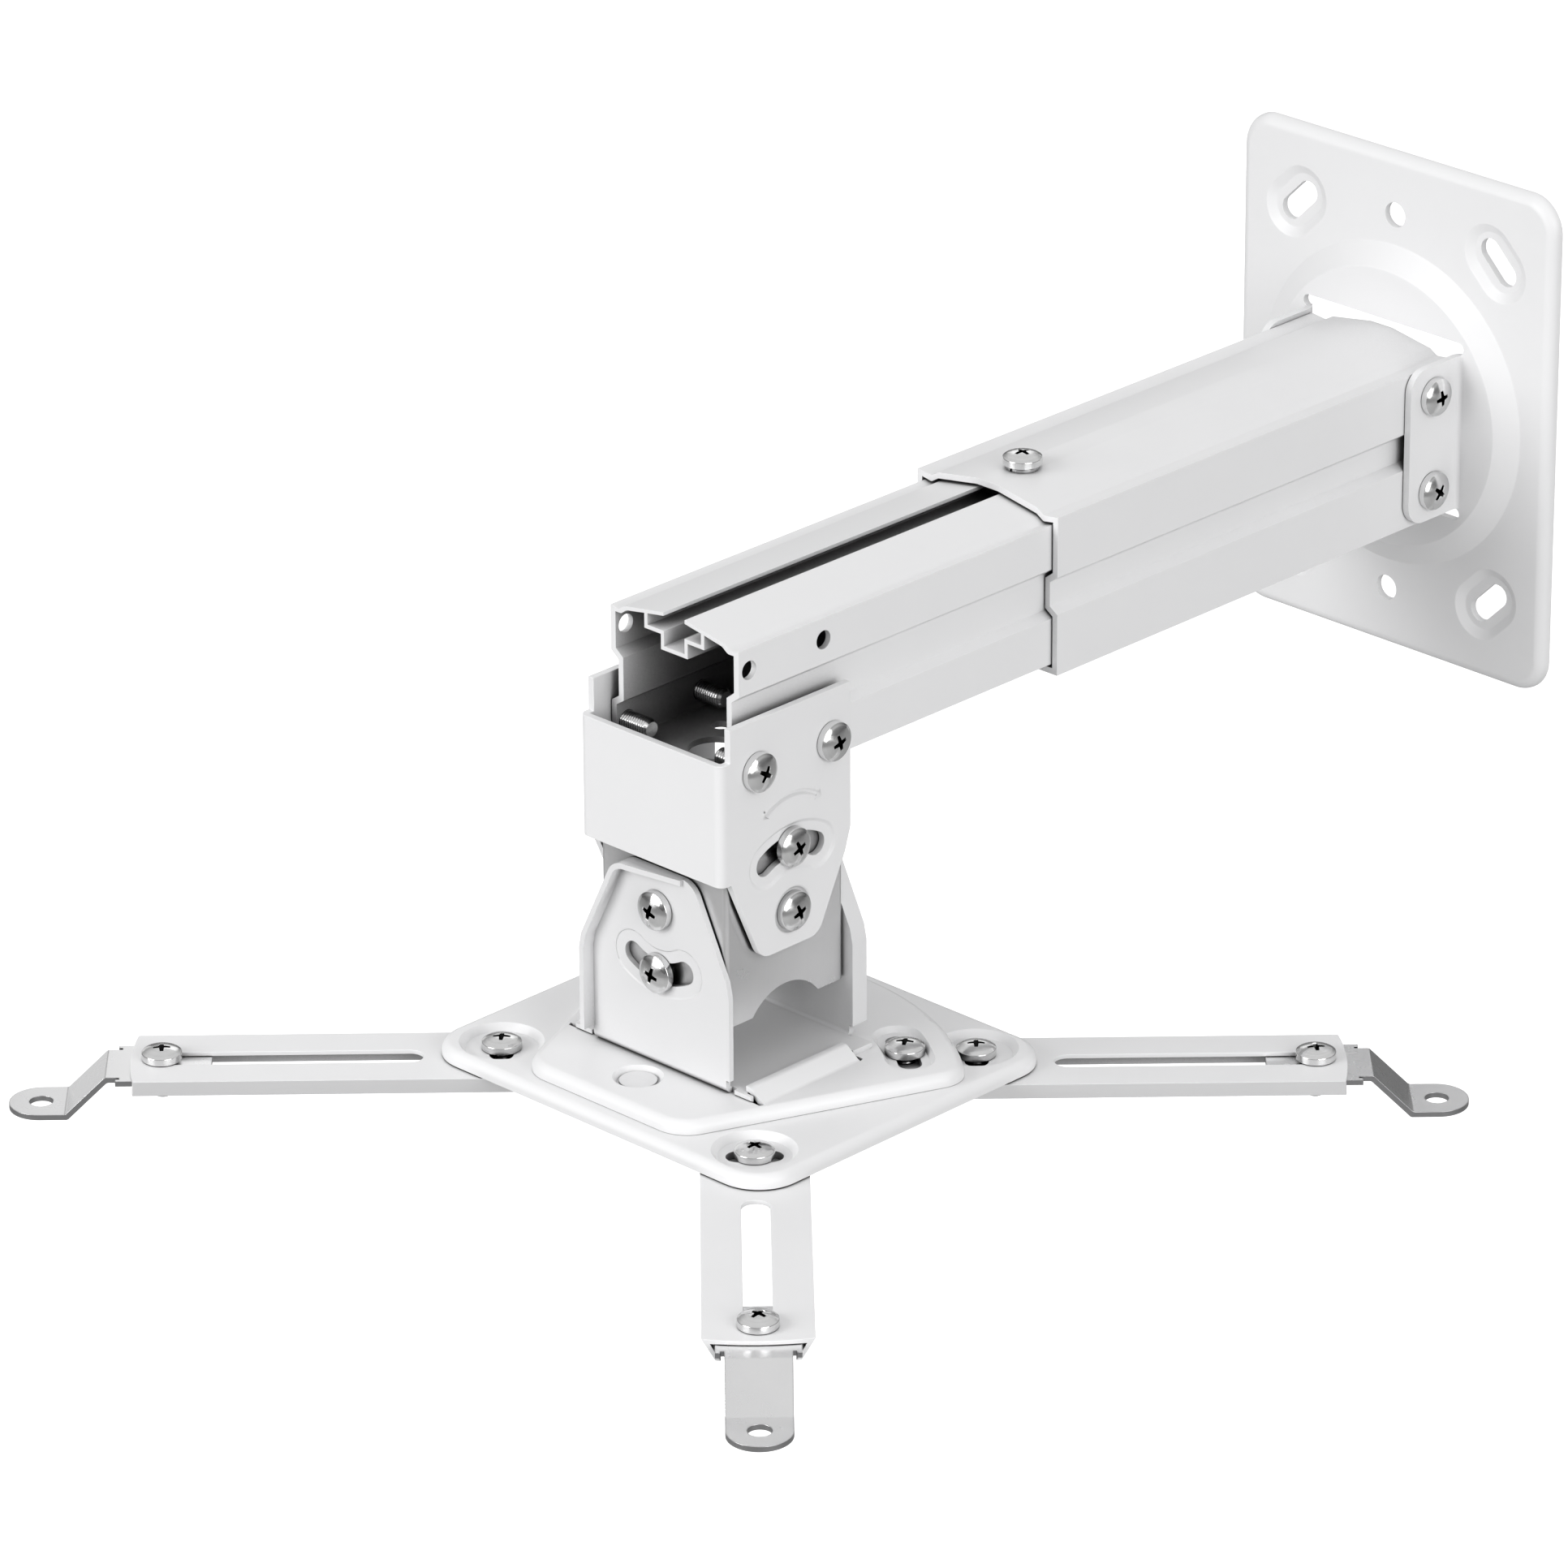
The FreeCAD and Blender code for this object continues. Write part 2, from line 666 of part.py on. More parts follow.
def make_wall_plate():
    """Pressed plate with rolled rim, raised boss, four sunk anchor slots and two lanced tabs."""
    body = new_body("wall_plate")
    half_width = "plate_width / 2"
    half_height = "plate_height / 2"
    front = new_sketch(body, "XZ_Plane")
    rounded = "plate_corner"
    quarter = [(half_width, minus(half_height), rounded), (half_width, half_height, rounded)]
    outline(front, mirrored(quarter))
    block = pad(body, front, "plate_depth")
    block = fillet(body, "plate_roll", face_edges(block, "y", "-plate_depth"))
    hollow(body, "plate_sheet", [plane_face(block, "y", "0")])

    boss = new_sketch(body, "XZ_Plane", "plate_depth")
    circle(boss, "0", "0", "boss_radius")
    pad(body, boss, "boss_rise", taper=inset_angle("boss_slope", "boss_rise"))
    boss_back = new_sketch(body, "XZ_Plane", "plate_depth - plate_sheet")
    circle(boss_back, "0", "0", "boss_radius")
    pocket(body, boss_back, "boss_rise", taper=inset_angle("boss_slope", "boss_rise"), reverse=True)

    slope = inset_angle("anchor_slope", "anchor_sink")
    land_half_width = "anchor_land_width / 2 + anchor_slope"
    land_half_run = "(anchor_land_length - anchor_land_width) / 2"
    places = [("anchor_x", "anchor_z", -45), ("-anchor_x", "anchor_z", 45)]
    places += [("anchor_x", "-anchor_z", 45), ("-anchor_x", "-anchor_z", -45)]
    for x, z, heading in places:
        back = new_sketch(body, "XZ_Plane", "plate_depth - plate_sheet")
        straight_slot(back, x, z, heading, land_half_run, land_half_width)
        pad(body, back, "anchor_sink", taper=slope, reverse=True)
        sunk = new_sketch(body, "XZ_Plane", "plate_depth")
        straight_slot(sunk, x, z, heading, land_half_run, land_half_width)
        pocket(body, sunk, "anchor_sink", taper=slope)
    holes = new_sketch(body, "XZ_Plane")
    for x, z, heading in places:
        straight_slot(holes, x, z, heading, "(anchor_length - anchor_width) / 2", "anchor_width / 2")
    for z in ("round_hole_z", "-round_hole_z"):
        circle(holes, "0", z, "round_hole_radius")
    pocket(body, holes, both=True)

    tab_inner = plus(outer_half, "tab_gap")
    tab_outer = plus(tab_inner, "tab_sheet")
    bend_end = plus(tab_outer, "tab_bend")
    window = new_sketch(body, "XZ_Plane")
    outline(window, mirrored([(bend_end, "-tab_half_height"), (bend_end, "tab_half_height")]))
    pocket(body, window, both=True)
    reliefs = new_sketch(body, "XZ_Plane")
    for sign in ("", "-"):
        relief_z = f"{sign}(tab_half_height + lance_relief / 2)"
        straight_slot(reliefs, "0", relief_z, 0, f"{bend_end} - lance_relief / 2", "lance_relief / 2")
    pocket(body, reliefs, both=True)

    boss_front = "-(plate_depth + boss_rise)"
    boss_inside = "-(plate_depth + boss_rise - plate_sheet)"
    outer_bend = "tab_bend + tab_sheet"
    tabs = new_sketch(body, "XY_Plane", "-tab_half_height")
    anchor_end = plus(bend_end, "plate_sheet / 2")
    for sign in ("", "-"):
        corners = [
            (f"{sign}({tab_inner})", "-tab_reach"),
            (f"{sign}({tab_outer})", "-tab_reach"),
            (f"{sign}({tab_outer})", boss_front, "tab_bend"),
            (f"{sign}({anchor_end})", boss_front),
            (f"{sign}({anchor_end})", boss_inside),
            (f"{sign}({tab_inner})", boss_inside, outer_bend),
        ]
        outline(tabs, corners)
    raised = pad(body, tabs, "2 * tab_half_height")
    free_corners = [("-tab_reach", "tab_half_height"), ("-tab_reach", "-tab_half_height")]
    fillet(body, "tab_corner", straight_edges(raised, "x", free_corners))
    screw_holes = new_sketch(body, "YZ_Plane")
    for z in ("tab_screw_z", "-tab_screw_z"):
        circle(screw_holes, "-tab_screw_y", z, shank_hole)
    pocket(body, screw_holes, both=True)
    finish(body)


def mitre(thickness, depth, height):
    """How far a corner between a wall and a slope moves along the wall when both get an offset."""
    return f"({thickness}) * tan(atan(({depth}) / ({height})) / 2)"


def side_wall(side, rise, play="0"):
    """Right half of the tube section from its floor to its ledge, grown by the given offsets."""
    outer_x = plus(inner_half, side)
    groove_x = plus(outer_x, "-groove_depth")
    low_shift = plus(mitre(side, "groove_depth", "groove_low_slope"), play)
    top_shift = plus(mitre(side, "groove_depth", "groove_top_slope"), play)
    return [
        (outer_x, minus(plus("inner_floor", rise))),
        (outer_x, plus("-groove_low", low_shift)),
        (groove_x, plus("-groove_low + groove_low_slope", low_shift)),
        (groove_x, f"groove_top - groove_top_slope - ({top_shift})"),
        (outer_x, f"groove_top - ({top_shift})"),
    ]


def crown(side, rise):
    """Right half of the crown from the ledge to the edge of its flat top."""
    return [
        (plus(inner_half, side), plus("ledge_height", rise)),
        ("dip_x", plus("dip_height", rise)),
        ("shoulder_x", plus("shoulder_height", rise)),
        ("slot_width / 2", plus("crown_height", rise)),
    ]


def make_outer_tube():
    """Extruded sleeve that follows the inner tube's section all round."""
    body = new_body("outer_tube")
    section = new_sketch(body, "XZ_Plane", "outer_back")
    far_side = "side_gap + outer_wall"
    far_rise = "rise_gap + outer_wall"
    for side, rise in ((far_side, far_rise), ("side_gap", "rise_gap")):
        outline(section, mirrored(side_wall(side, rise, "groove_play") + crown(side, rise)))
    pad(body, section, "outer_front - outer_back")
    clamp_hole = new_sketch(body, "XY_Plane")
    circle(clamp_hole, "0", "-clamp_y", shank_hole)
    pocket(body, clamp_hole, reverse=True)
    screw_holes = new_sketch(body, "YZ_Plane")
    for z in ("tab_screw_z", "-tab_screw_z"):
        circle(screw_holes, "-tab_screw_y", z, thread_hole)
    pocket(body, screw_holes, both=True)
    finish(body)


def crown_line(x):
    """Height of the crown's outer slope at a distance from the middle."""
    slope = "(crown_height - shoulder_height) / (shoulder_x - slot_width / 2)"
    return f"shoulder_height + (shoulder_x - ({x})) * {slope}"


def make_inner_tube():
    """Extruded tube with an open slot in its crown and a stepped nut channel below the slot."""
    body = new_body("inner_tube")
    nut_half = "nut_channel_width / 2"
    shank_half = "shank_channel_width / 2"
    section = new_sketch(body, "XZ_Plane", "head_reach + tube_overhang - inner_length")
    channel = [
        ("slot_width / 2", "crown_height - crown_sheet"),
        (nut_half, plus(crown_line(nut_half), "-crown_sheet")),
        (nut_half, "nut_channel_floor"),
        (shank_half, "nut_channel_floor"),
        (shank_half, "shank_channel_floor"),
    ]
    outline(section, mirrored(side_wall("0", "0") + crown("0", "0") + channel))
    inset = "-inner_wall"
    web_half = plus(nut_half, "channel_wall")
    keel_half = plus(shank_half, "channel_wall")
    void = side_wall(inset, inset) + [
        (f"{inner_half} - inner_wall", "ledge_height - ledge_sheet"),
        ("dip_x - crown_sheet", "ledge_height - ledge_sheet"),
        ("shoulder_x - crown_sheet / 2", "shoulder_height - crown_sheet"),
        (web_half, plus(crown_line(web_half), "-crown_sheet")),
        (web_half, "nut_channel_floor - channel_wall"),
        (keel_half, "nut_channel_floor - channel_wall"),
        (keel_half, "shank_channel_floor - channel_wall"),
    ]
    outline(section, mirrored(void))
    pad(body, section, "inner_length")
    side_holes = new_sketch(body, "YZ_Plane")
    for y in ("-(head_reach + fix_ahead)", "-(head_reach - fix_behind)"):
        circle(side_holes, y, "-fix_screw_z", thread_hole)
        circle(side_holes, y, "fix_spare_z", "spare_hole_radius")
    pocket(body, side_holes, both=True)
    floor_holes = new_sketch(body, "XY_Plane")
    circle(floor_holes, "0", "-(head_reach + floor_hole_y)", "floor_hole_radius")
    circle(floor_holes, "-drain_hole_x", "-(head_reach - drain_hole_y)", "drain_hole_radius")
    pocket(body, floor_holes)
    finish(body)


def make_channel_nut():
    """Flat nut that slides in the inner tube's channel and takes the clamp screw."""
    body = new_body("channel_nut", y="-clamp_y")
    nut_half = "nut_channel_width / 2 - channel_nut_play"
    floor = "nut_channel_floor + channel_nut_play"
    plan = new_sketch(body, "XY_Plane", floor)
    half_length = "channel_nut_length / 2"
    outline(plan, mirrored([(nut_half, minus(half_length)), (nut_half, half_length)]))
    circle(plan, "0", "0", thread_hole)
    pad(body, plan, "channel_nut_height")
    finish(body)


def make_spring_washer():
    """Split lock washer under the clamp screw's head."""
    body = new_body("clamp_washer", y="-clamp_y")
    plan = new_sketch(body, "XY_Plane", crown_top)
    circle(plan, "0", "0", "washer_radius")
    circle(plan, "0", "0", shank_hole)
    pad(body, plan, "washer_height")
    split = new_sketch(body, "XY_Plane", crown_top)
    half = "washer_split / 2"
    rectangle(split, (minus(half), "-2 * washer_radius"), (half, "0"))
    pocket(body, split, reverse=True)
    finish(body)


def make_upper_bracket():
    """Folded channel on the tube's end: a front wall and two long cheeks with arc slots."""
    body = new_body("upper_bracket", y="-head_reach", z="-pivot_drop")
    cheek_low = "-cheek_low"
    step = "-(bracket_front - cheek_step)"
    side = new_sketch(body, "YZ_Plane")
    corners = [
        ("-bracket_front", "pivot_drop - wall_low"),
        (step, "pivot_drop - wall_low"),
        ("-cheek_low_front", cheek_low, "cheek_low_corner"),
        ("cheek_low_back", cheek_low, "cheek_low_corner"),
        ("bracket_back - cheek_back_inset", "pivot_drop - cheek_back_slope"),
        ("bracket_back", "pivot_drop - cheek_back_break"),
        ("bracket_back", "pivot_drop - cheek_top"),
        (step, "pivot_drop - cheek_top"),
        (step, "pivot_drop - wall_top"),
        ("-bracket_front", "pivot_drop - wall_top"),
    ]
    outline(side, corners)
    block = pad(body, side, f"2 * ({bracket_half})", both=True)
    folds = [(minus(bracket_half), "-bracket_front"), (bracket_half, "-bracket_front")]
    fillet(body, "bracket_fold", straight_edges(block, "z", folds))
    inside = new_sketch(body, "XY_Plane")
    inner_front = "-(bracket_front - bracket_sheet)"
    inner_fold = "bracket_fold - bracket_sheet"
    quarter = [(bracket_inner, inner_front, inner_fold), (bracket_inner, "bracket_back + bracket_sheet")]
    outline(inside, mirrored(quarter)[::-1])
    pocket(body, inside, both=True)

    emboss_half = plus(shank_hole, "emboss_margin")
    pivot_land = "head_radius + pivot_emboss"
    narrowing = inset_angle("tilt_emboss", "tilt_emboss")
    for outward in (True, False):
        sign = "" if outward else "-"
        swell = new_sketch(body, "YZ_Plane", f"{sign}({bracket_inner})")
        arc_slot(swell, "0", "0", "arc_radius", "90", "arc_half_angle", emboss_half)
        circle(swell, "0", "0", pivot_land)
        pad(body, swell, "tilt_emboss", taper=narrowing, reverse=outward)
        sunk = new_sketch(body, "YZ_Plane", f"{sign}({bracket_half})")
        arc_slot(sunk, "0", "0", "arc_radius", "90", "arc_half_angle", emboss_half)
        circle(sunk, "0", "0", pivot_land)
        pocket(body, sunk, "tilt_emboss", taper=narrowing, reverse=not outward)
    holes = new_sketch(body, "YZ_Plane")
    arc_slot(holes, "0", "0", "arc_radius", "90", "arc_half_angle", shank_hole)
    circle(holes, "0", "0", shank_hole)
    for y in ("-fix_ahead", "fix_behind"):
        circle(holes, y, "pivot_drop - fix_screw_z", shank_hole)
    pocket(body, holes, both=True)
    finish(body)


def make_middle_box():
    """Four-walled box that hangs between the cheeks: two ears above, an arched notch below each."""
    body = new_body("middle_box", y="-head_reach", z="-pivot_drop")
    plan = new_sketch(body, "XY_Plane", "-box_below")
    rounded = "box_fold"
    inner_x = f"{box_half} - box_sheet"
    inner_y = "box_half_depth - box_sheet"
    outline(plan, mirrored([(box_half, "-box_half_depth", rounded), (box_half, "box_half_depth", rounded)]))
    outline(plan, mirrored([(inner_x, minus(inner_y)), (inner_x, inner_y)]))
    ear_top = "arc_radius + ear_above"
    pad(body, plan, f"box_below + {ear_top}")
    trim = new_sketch(body, "YZ_Plane")
    above = f"{ear_top} + ear_above"
    beyond = "box_half_depth + box_sheet"
    trim_corners = [
        (minus(beyond), "box_above"),
        ("-ear_half_width", "box_above"),
        ("-ear_half_width", ear_top, "ear_corner"),
        ("ear_half_width", ear_top, "ear_corner"),
        ("ear_half_width", "box_above"),
        (beyond, "box_above"),
        (beyond, above),
        (minus(beyond), above),
    ]
    outline(trim, trim_corners)
    pocket(body, trim, both=True)
    notch = new_sketch(body, "YZ_Plane")
    low = "-box_below"
    below = "-(box_below + box_sheet)"
    notch_corners = [
        ("-notch_half_chord", low),
        ("-notch_half_chord", below),
        ("notch_half_chord", below),
        ("notch_half_chord", low),
    ]
    outline(notch, notch_corners, arcs={3: ("notch_radius", 1)})
    pocket(body, notch, both=True)
    tilt_holes = new_sketch(body, "YZ_Plane")
    roll_holes = new_sketch(body, "XZ_Plane")
    circle(tilt_holes, "0", "0", thread_hole)
    circle(tilt_holes, "0", "arc_radius", thread_hole)
    pocket(body, tilt_holes, both=True)
    circle(roll_holes, "0", "0", thread_hole)
    circle(roll_holes, "0", "-arc_radius", thread_hole)
    pocket(body, roll_holes, both=True)
    finish(body)


def yoke_corners(inset):
    """Left border of a yoke cheek from its foot to its rounded top corner, drawn in by the inset."""
    low_in, low_up = "(yoke_half_width - yoke_break_x)", "(yoke_side_z - yoke_break_z)"
    high_in, high_up = "(yoke_break_x - yoke_top_half)", "(yoke_break_z + yoke_above)"
    low_lean = f"atan({low_in} / {low_up})"
    high_lean = f"atan({high_in} / {high_up})"
    reach = f"({inset}) / cos(({high_lean} - {low_lean}) / 2)"
    middle = f"(({high_lean} + {low_lean}) / 2)"
    top_shift = mitre(inset, high_up, high_in)
    return [
        (f"-(yoke_half_width - ({inset}))", f"-yoke_side_z - {mitre(inset, low_in, low_up)}"),
        (f"-yoke_break_x + {reach} * cos{middle}", f"-yoke_break_z - {reach} * sin{middle}"),
        (f"-yoke_top_half + {top_shift}", f"yoke_above - ({inset})", f"yoke_top_corner - ({inset})"),
    ]


def make_lower_bracket():
    """Yoke below the box: two cheeks, a base with wings, and one stiffening flange on each cheek."""
    body = new_body("lower_bracket", y="-head_reach", z="-pivot_drop")
    floor_low = f"-({yoke_floor} - pivot_drop)"
    floor_top = "-(base_top - pivot_drop)"
    inner_y = f"{yoke_face} - yoke_sheet"
    section = new_sketch(body, "YZ_Plane")
    right = [
        (yoke_face, floor_low, "yoke_fold"),
        (yoke_face, "yoke_above"),
        (inner_y, "yoke_above"),
        (inner_y, floor_top, "yoke_fold - yoke_sheet"),
    ]
    outline(section, mirrored(right))
    pad(body, section, "2 * base_half_width", both=True)

    beyond = "base_half_width + yoke_sheet"
    above = "yoke_above + yoke_sheet"
    crest = "-(yoke_top_half - yoke_top_corner)"
    cheeks = new_sketch(body, "XZ_Plane")
    for sign in ("", "-"):
        removed = [
            ("-yoke_half_width", floor_top),
            *yoke_corners("0"),
            (crest, "yoke_above"),
            (crest, above),
            (minus(beyond), above),
            (minus(beyond), floor_top),
        ]
        outline(cheeks, [(f"{sign}({x})", *rest) for x, *rest in removed])
    pocket(body, cheeks, both=True)

    wings = new_sketch(body, "XY_Plane", floor_top)
    wing_beyond = plus(yoke_face, "yoke_sheet")
    hook_grip = "hook_knee_x - hook_sheet / 2"
    reliefs = new_sketch(body, "XY_Plane", f"{floor_top} + 2 * base_relief")
    for sign_x in ("", "-"):
        for sign_y in ("", "-"):
            rectangle(wings, (f"{sign_x}(yoke_half_width)", f"{sign_y}(base_half_depth)"),
                      (f"{sign_x}({beyond})", f"{sign_y}({wing_beyond})"))
            relief_y = f"{sign_y}(base_half_depth - base_relief)"
            rectangle(reliefs, (f"{sign_x}(yoke_half_width - base_relief)", relief_y),
                      (f"{sign_x}(yoke_half_width + base_relief / 2)", f"{sign_y}({wing_beyond})"))
        rectangle(wings, (f"{sign_x}({hook_grip})", "-(hook_ahead + hook_relief / 2)"),
                  (f"{sign_x}({beyond})", "hook_behind + hook_relief / 2"))
    pocket(body, wings)
    pocket(body, reliefs)

    strip_low = f"{floor_top} + 2 * base_relief"
    border = [
        ("-(yoke_half_width - yoke_sheet)", strip_low),
        *yoke_corners("yoke_sheet"),
        ("flange_end_x", "yoke_above - yoke_sheet"),
        ("flange_end_x", "yoke_above"),
        *yoke_corners("0")[::-1],
        ("-yoke_half_width", strip_low),
    ]
    for sign, behind in (("", False), ("-", True)):
        face = minus(yoke_face) if behind else yoke_face
        strip = new_sketch(body, "XZ_Plane", face)
        outline(strip, [(f"{sign}({x})", *rest) for x, *rest in border])
        pad(body, strip, "flange_reach", reverse=behind)
        taper = new_sketch(body, "XY_Plane", above)
        way = "" if behind else "-"
        cut = [
            ("-flange_taper_x", f"{way}({yoke_face} + flange_reach)"),
            ("flange_end_x", f"{way}({yoke_face} + flange_tip)"),
            ("flange_end_x + yoke_sheet", f"{way}({yoke_face} + flange_tip)"),
            ("flange_end_x + yoke_sheet", f"{way}({yoke_face} + 2 * flange_reach)"),
            ("-flange_taper_x", f"{way}({yoke_face} + 2 * flange_reach)"),
        ]
        outline(taper, [(f"{sign}({x})", y) for x, y in cut])
        pocket(body, taper)

    emboss_half = plus(shank_hole, "emboss_margin")
    narrowing = inset_angle("roll_emboss", "roll_emboss")
    for behind in (False, True):
        sign = "-" if behind else ""
        swell = new_sketch(body, "XZ_Plane", f"{sign}({yoke_face} - yoke_sheet)")
        arc_slot(swell, "0", "0", "arc_radius", "-90", "arc_half_angle", emboss_half)
        pad(body, swell, "roll_emboss", taper=narrowing, reverse=not behind)
        sunk = new_sketch(body, "XZ_Plane", f"{sign}({yoke_face})")
        arc_slot(sunk, "0", "0", "arc_radius", "-90", "arc_half_angle", emboss_half)
        pocket(body, sunk, "roll_emboss", taper=narrowing, reverse=behind)
    holes = new_sketch(body, "XZ_Plane")
    arc_slot(holes, "0", "0", "arc_radius", "-90", "arc_half_angle", shank_hole)
    circle(holes, "0", "0", shank_hole)
    pocket(body, holes, both=True)
    finish(body)


def make_adapter_plate():
    """Pressed fan under the yoke: it turns on the rivet, and its two hooks grip the yoke's base."""
    body = new_body("adapter_plate", y=minus(rivet_y))
    back_x = "fan_radius * sin(fan_half_angle)"
    back_y = "fan_radius * cos(fan_half_angle)"
    corners = mirrored([("fan_front_half", "-fan_front"), (back_x, back_y)])
    back = {1: ("fan_radius", 1)}
    rounded = [
        ([("fan_front_half", "-fan_front"), ("-fan_front_half", "-fan_front")], "fan_front_corner"),
        ([(back_x, back_y), (minus(back_x), back_y)], "fan_back_corner"),
    ]
    pressed_pan(body, corners, back, yoke_floor, fan_depth, "pan_sheet", "pan_roll", rounded)

    slope = inset_angle("pan_slope", "pan_sink")
    land_half = plus("head_radius", "rivet_play", "pan_slope")
    below = minus(plus(yoke_floor, "pan_sheet"))
    for height, make, reverse in ((below, pad, True), (minus(yoke_floor), pocket, False)):
        lands = new_sketch(body, "XY_Plane", height)
        circle(lands, "0", "0", "rivet_land + pan_slope")
        for heading in ("(90 - yaw_angle)", "(90 + yaw_angle)"):
            arc_slot(lands, "0", "0", "yaw_radius", heading, "yaw_half_travel", land_half)
        make(body, lands, "pan_sink", taper=slope, reverse=reverse)
    holes = new_sketch(body, "XY_Plane", minus(yoke_floor))
    circle(holes, "0", "0", "rivet_radius + rivet_play")
    for heading in ("(90 - yaw_angle)", "(90 + yaw_angle)"):
        arc_slot(holes, "0", "0", "yaw_radius", heading, "yaw_half_travel", shank_hole)
    hook_low = "rivet_ahead - hook_ahead"
    hook_high = "rivet_ahead + hook_behind"
    for sign in ("", "-"):
        rectangle(holes, (f"{sign}(window_inner_x)", f"{hook_low} - hook_relief"),
                  (f"{sign}(hook_root_x)", f"{hook_high} + hook_relief"))
    pocket(body, holes)

    hooks = new_sketch(body, "XZ_Plane", minus(hook_high))
    floor = minus(yoke_floor)
    run = "(hook_root_x - hook_knee_x)"
    length = f"sqrt({run} * {run} + hook_rise * hook_rise)"
    drop = f"hook_sheet * ({length}) / {run}"
    lip_low = f"{floor} + hook_rise - hook_sheet"
    slope_low = f"hook_root_x - ({run} / hook_rise) * (-pan_sheet + {drop})"
    knee_low = f"hook_knee_x - ({run} / hook_rise) * ({drop} - hook_sheet)"
    for sign in ("", "-"):
        bend = [
            ("hook_root_x + hook_sheet", f"{floor} - pan_sheet"),
            ("hook_root_x + hook_sheet", floor),
            ("hook_root_x", floor),
            ("hook_knee_x", f"{floor} + hook_rise"),
            ("hook_lip_x", f"{floor} + hook_rise"),
            ("hook_lip_x", lip_low),
            (knee_low, lip_low),
            (slope_low, f"{floor} - pan_sheet"),
        ]
        outline(hooks, [(f"{sign}({x})", z) for x, z in bend])
    pad(body, hooks, "hook_ahead + hook_behind")
    finish(body)


def make_rivet():
    """Headed rivet that joins the adapter plate to the spider plate."""
    body = new_body("adapter_rivet", y=minus(rivet_y))
    seat = f"-({yoke_floor} + pan_sink)"
    tail = f"-({spider_top} + pan_sheet + face_gap)"
    profile = new_sketch(body, "XZ_Plane")
    corners = [
        ("0", f"{seat} + rivet_head"),
        ("0", f"{tail} - rivet_tail"),
        ("rivet_tail_radius", f"{tail} - rivet_tail"),
        ("rivet_tail_radius", tail),
        ("rivet_radius", tail),
        ("rivet_radius", seat),
        ("rivet_head_radius", seat),
        ("rivet_head_radius", f"{seat} + rivet_head"),
    ]
    outline(profile, corners)
    turned = body.newObject("PartDesign::Revolution", "rivet_turned")
    turned.Profile = profile
    turned.ReferenceAxis = (profile, ["V_Axis"])
    turned.Angle = 360
    check_feature(turned)
    finish(body)


CORNERS = {
    "front_left": ("-", "+", -135),
    "front_right": ("", "+", -45),
    "back_right": ("", "-", 45),
    "back_left": ("-", "-", 135),
}


def make_spider_plate():
    """Pressed plate with a sunk land and a cross slot in each corner."""
    body = new_body("spider_plate", y=minus(spider_y))
    half_width = "spider_width / 2"
    half_depth = "spider_depth / 2"
    corners = mirrored([(half_width, minus(half_depth)), (half_width, half_depth)])
    rounded = [([(x, y) for x, y in corners], "spider_corner")]
    pressed_pan(body, corners, {}, spider_top, "spider_pan", "pan_sheet", "pan_roll", rounded)
    slope = inset_angle("corner_slope", "corner_sink")
    land = plus("corner_travel", "head_radius", "rivet_play", "corner_slope")
    below = minus(plus(spider_top, "pan_sheet"))
    for height, make, reverse in ((below, pad, True), (minus(spider_top), pocket, False)):
        lands = new_sketch(body, "XY_Plane", height)
        for side, way, heading in CORNERS.values():
            circle(lands, f"{side}corner_x", "corner_y" if way == "-" else "-corner_y", land)
        make(body, lands, "corner_sink", taper=slope, reverse=reverse)
    holes = new_sketch(body, "XY_Plane", minus(spider_top))
    for side, way, heading in CORNERS.values():
        place = (f"{side}corner_x", "corner_y" if way == "-" else "-corner_y")
        straight_slot(holes, *place, heading + 90, "corner_travel", shank_hole)
    rivet_local = "-(rivet_ahead + spider_behind)"
    circle(holes, "0", rivet_local, "rivet_radius + rivet_play")
    for sign in ("", "-"):
        yaw_x = f"{sign}yaw_radius * sin(yaw_angle)"
        circle(holes, yaw_x, f"{rivet_local} + yaw_radius * cos(yaw_angle)", thread_hole)
    pocket(body, holes)
    finish(body)


def corner_place(side, way, z):
    """Place of a corner screw's axis at a height."""
    return (f"{side}corner_x", f"-(head_reach - spider_behind {way} corner_y)", z)


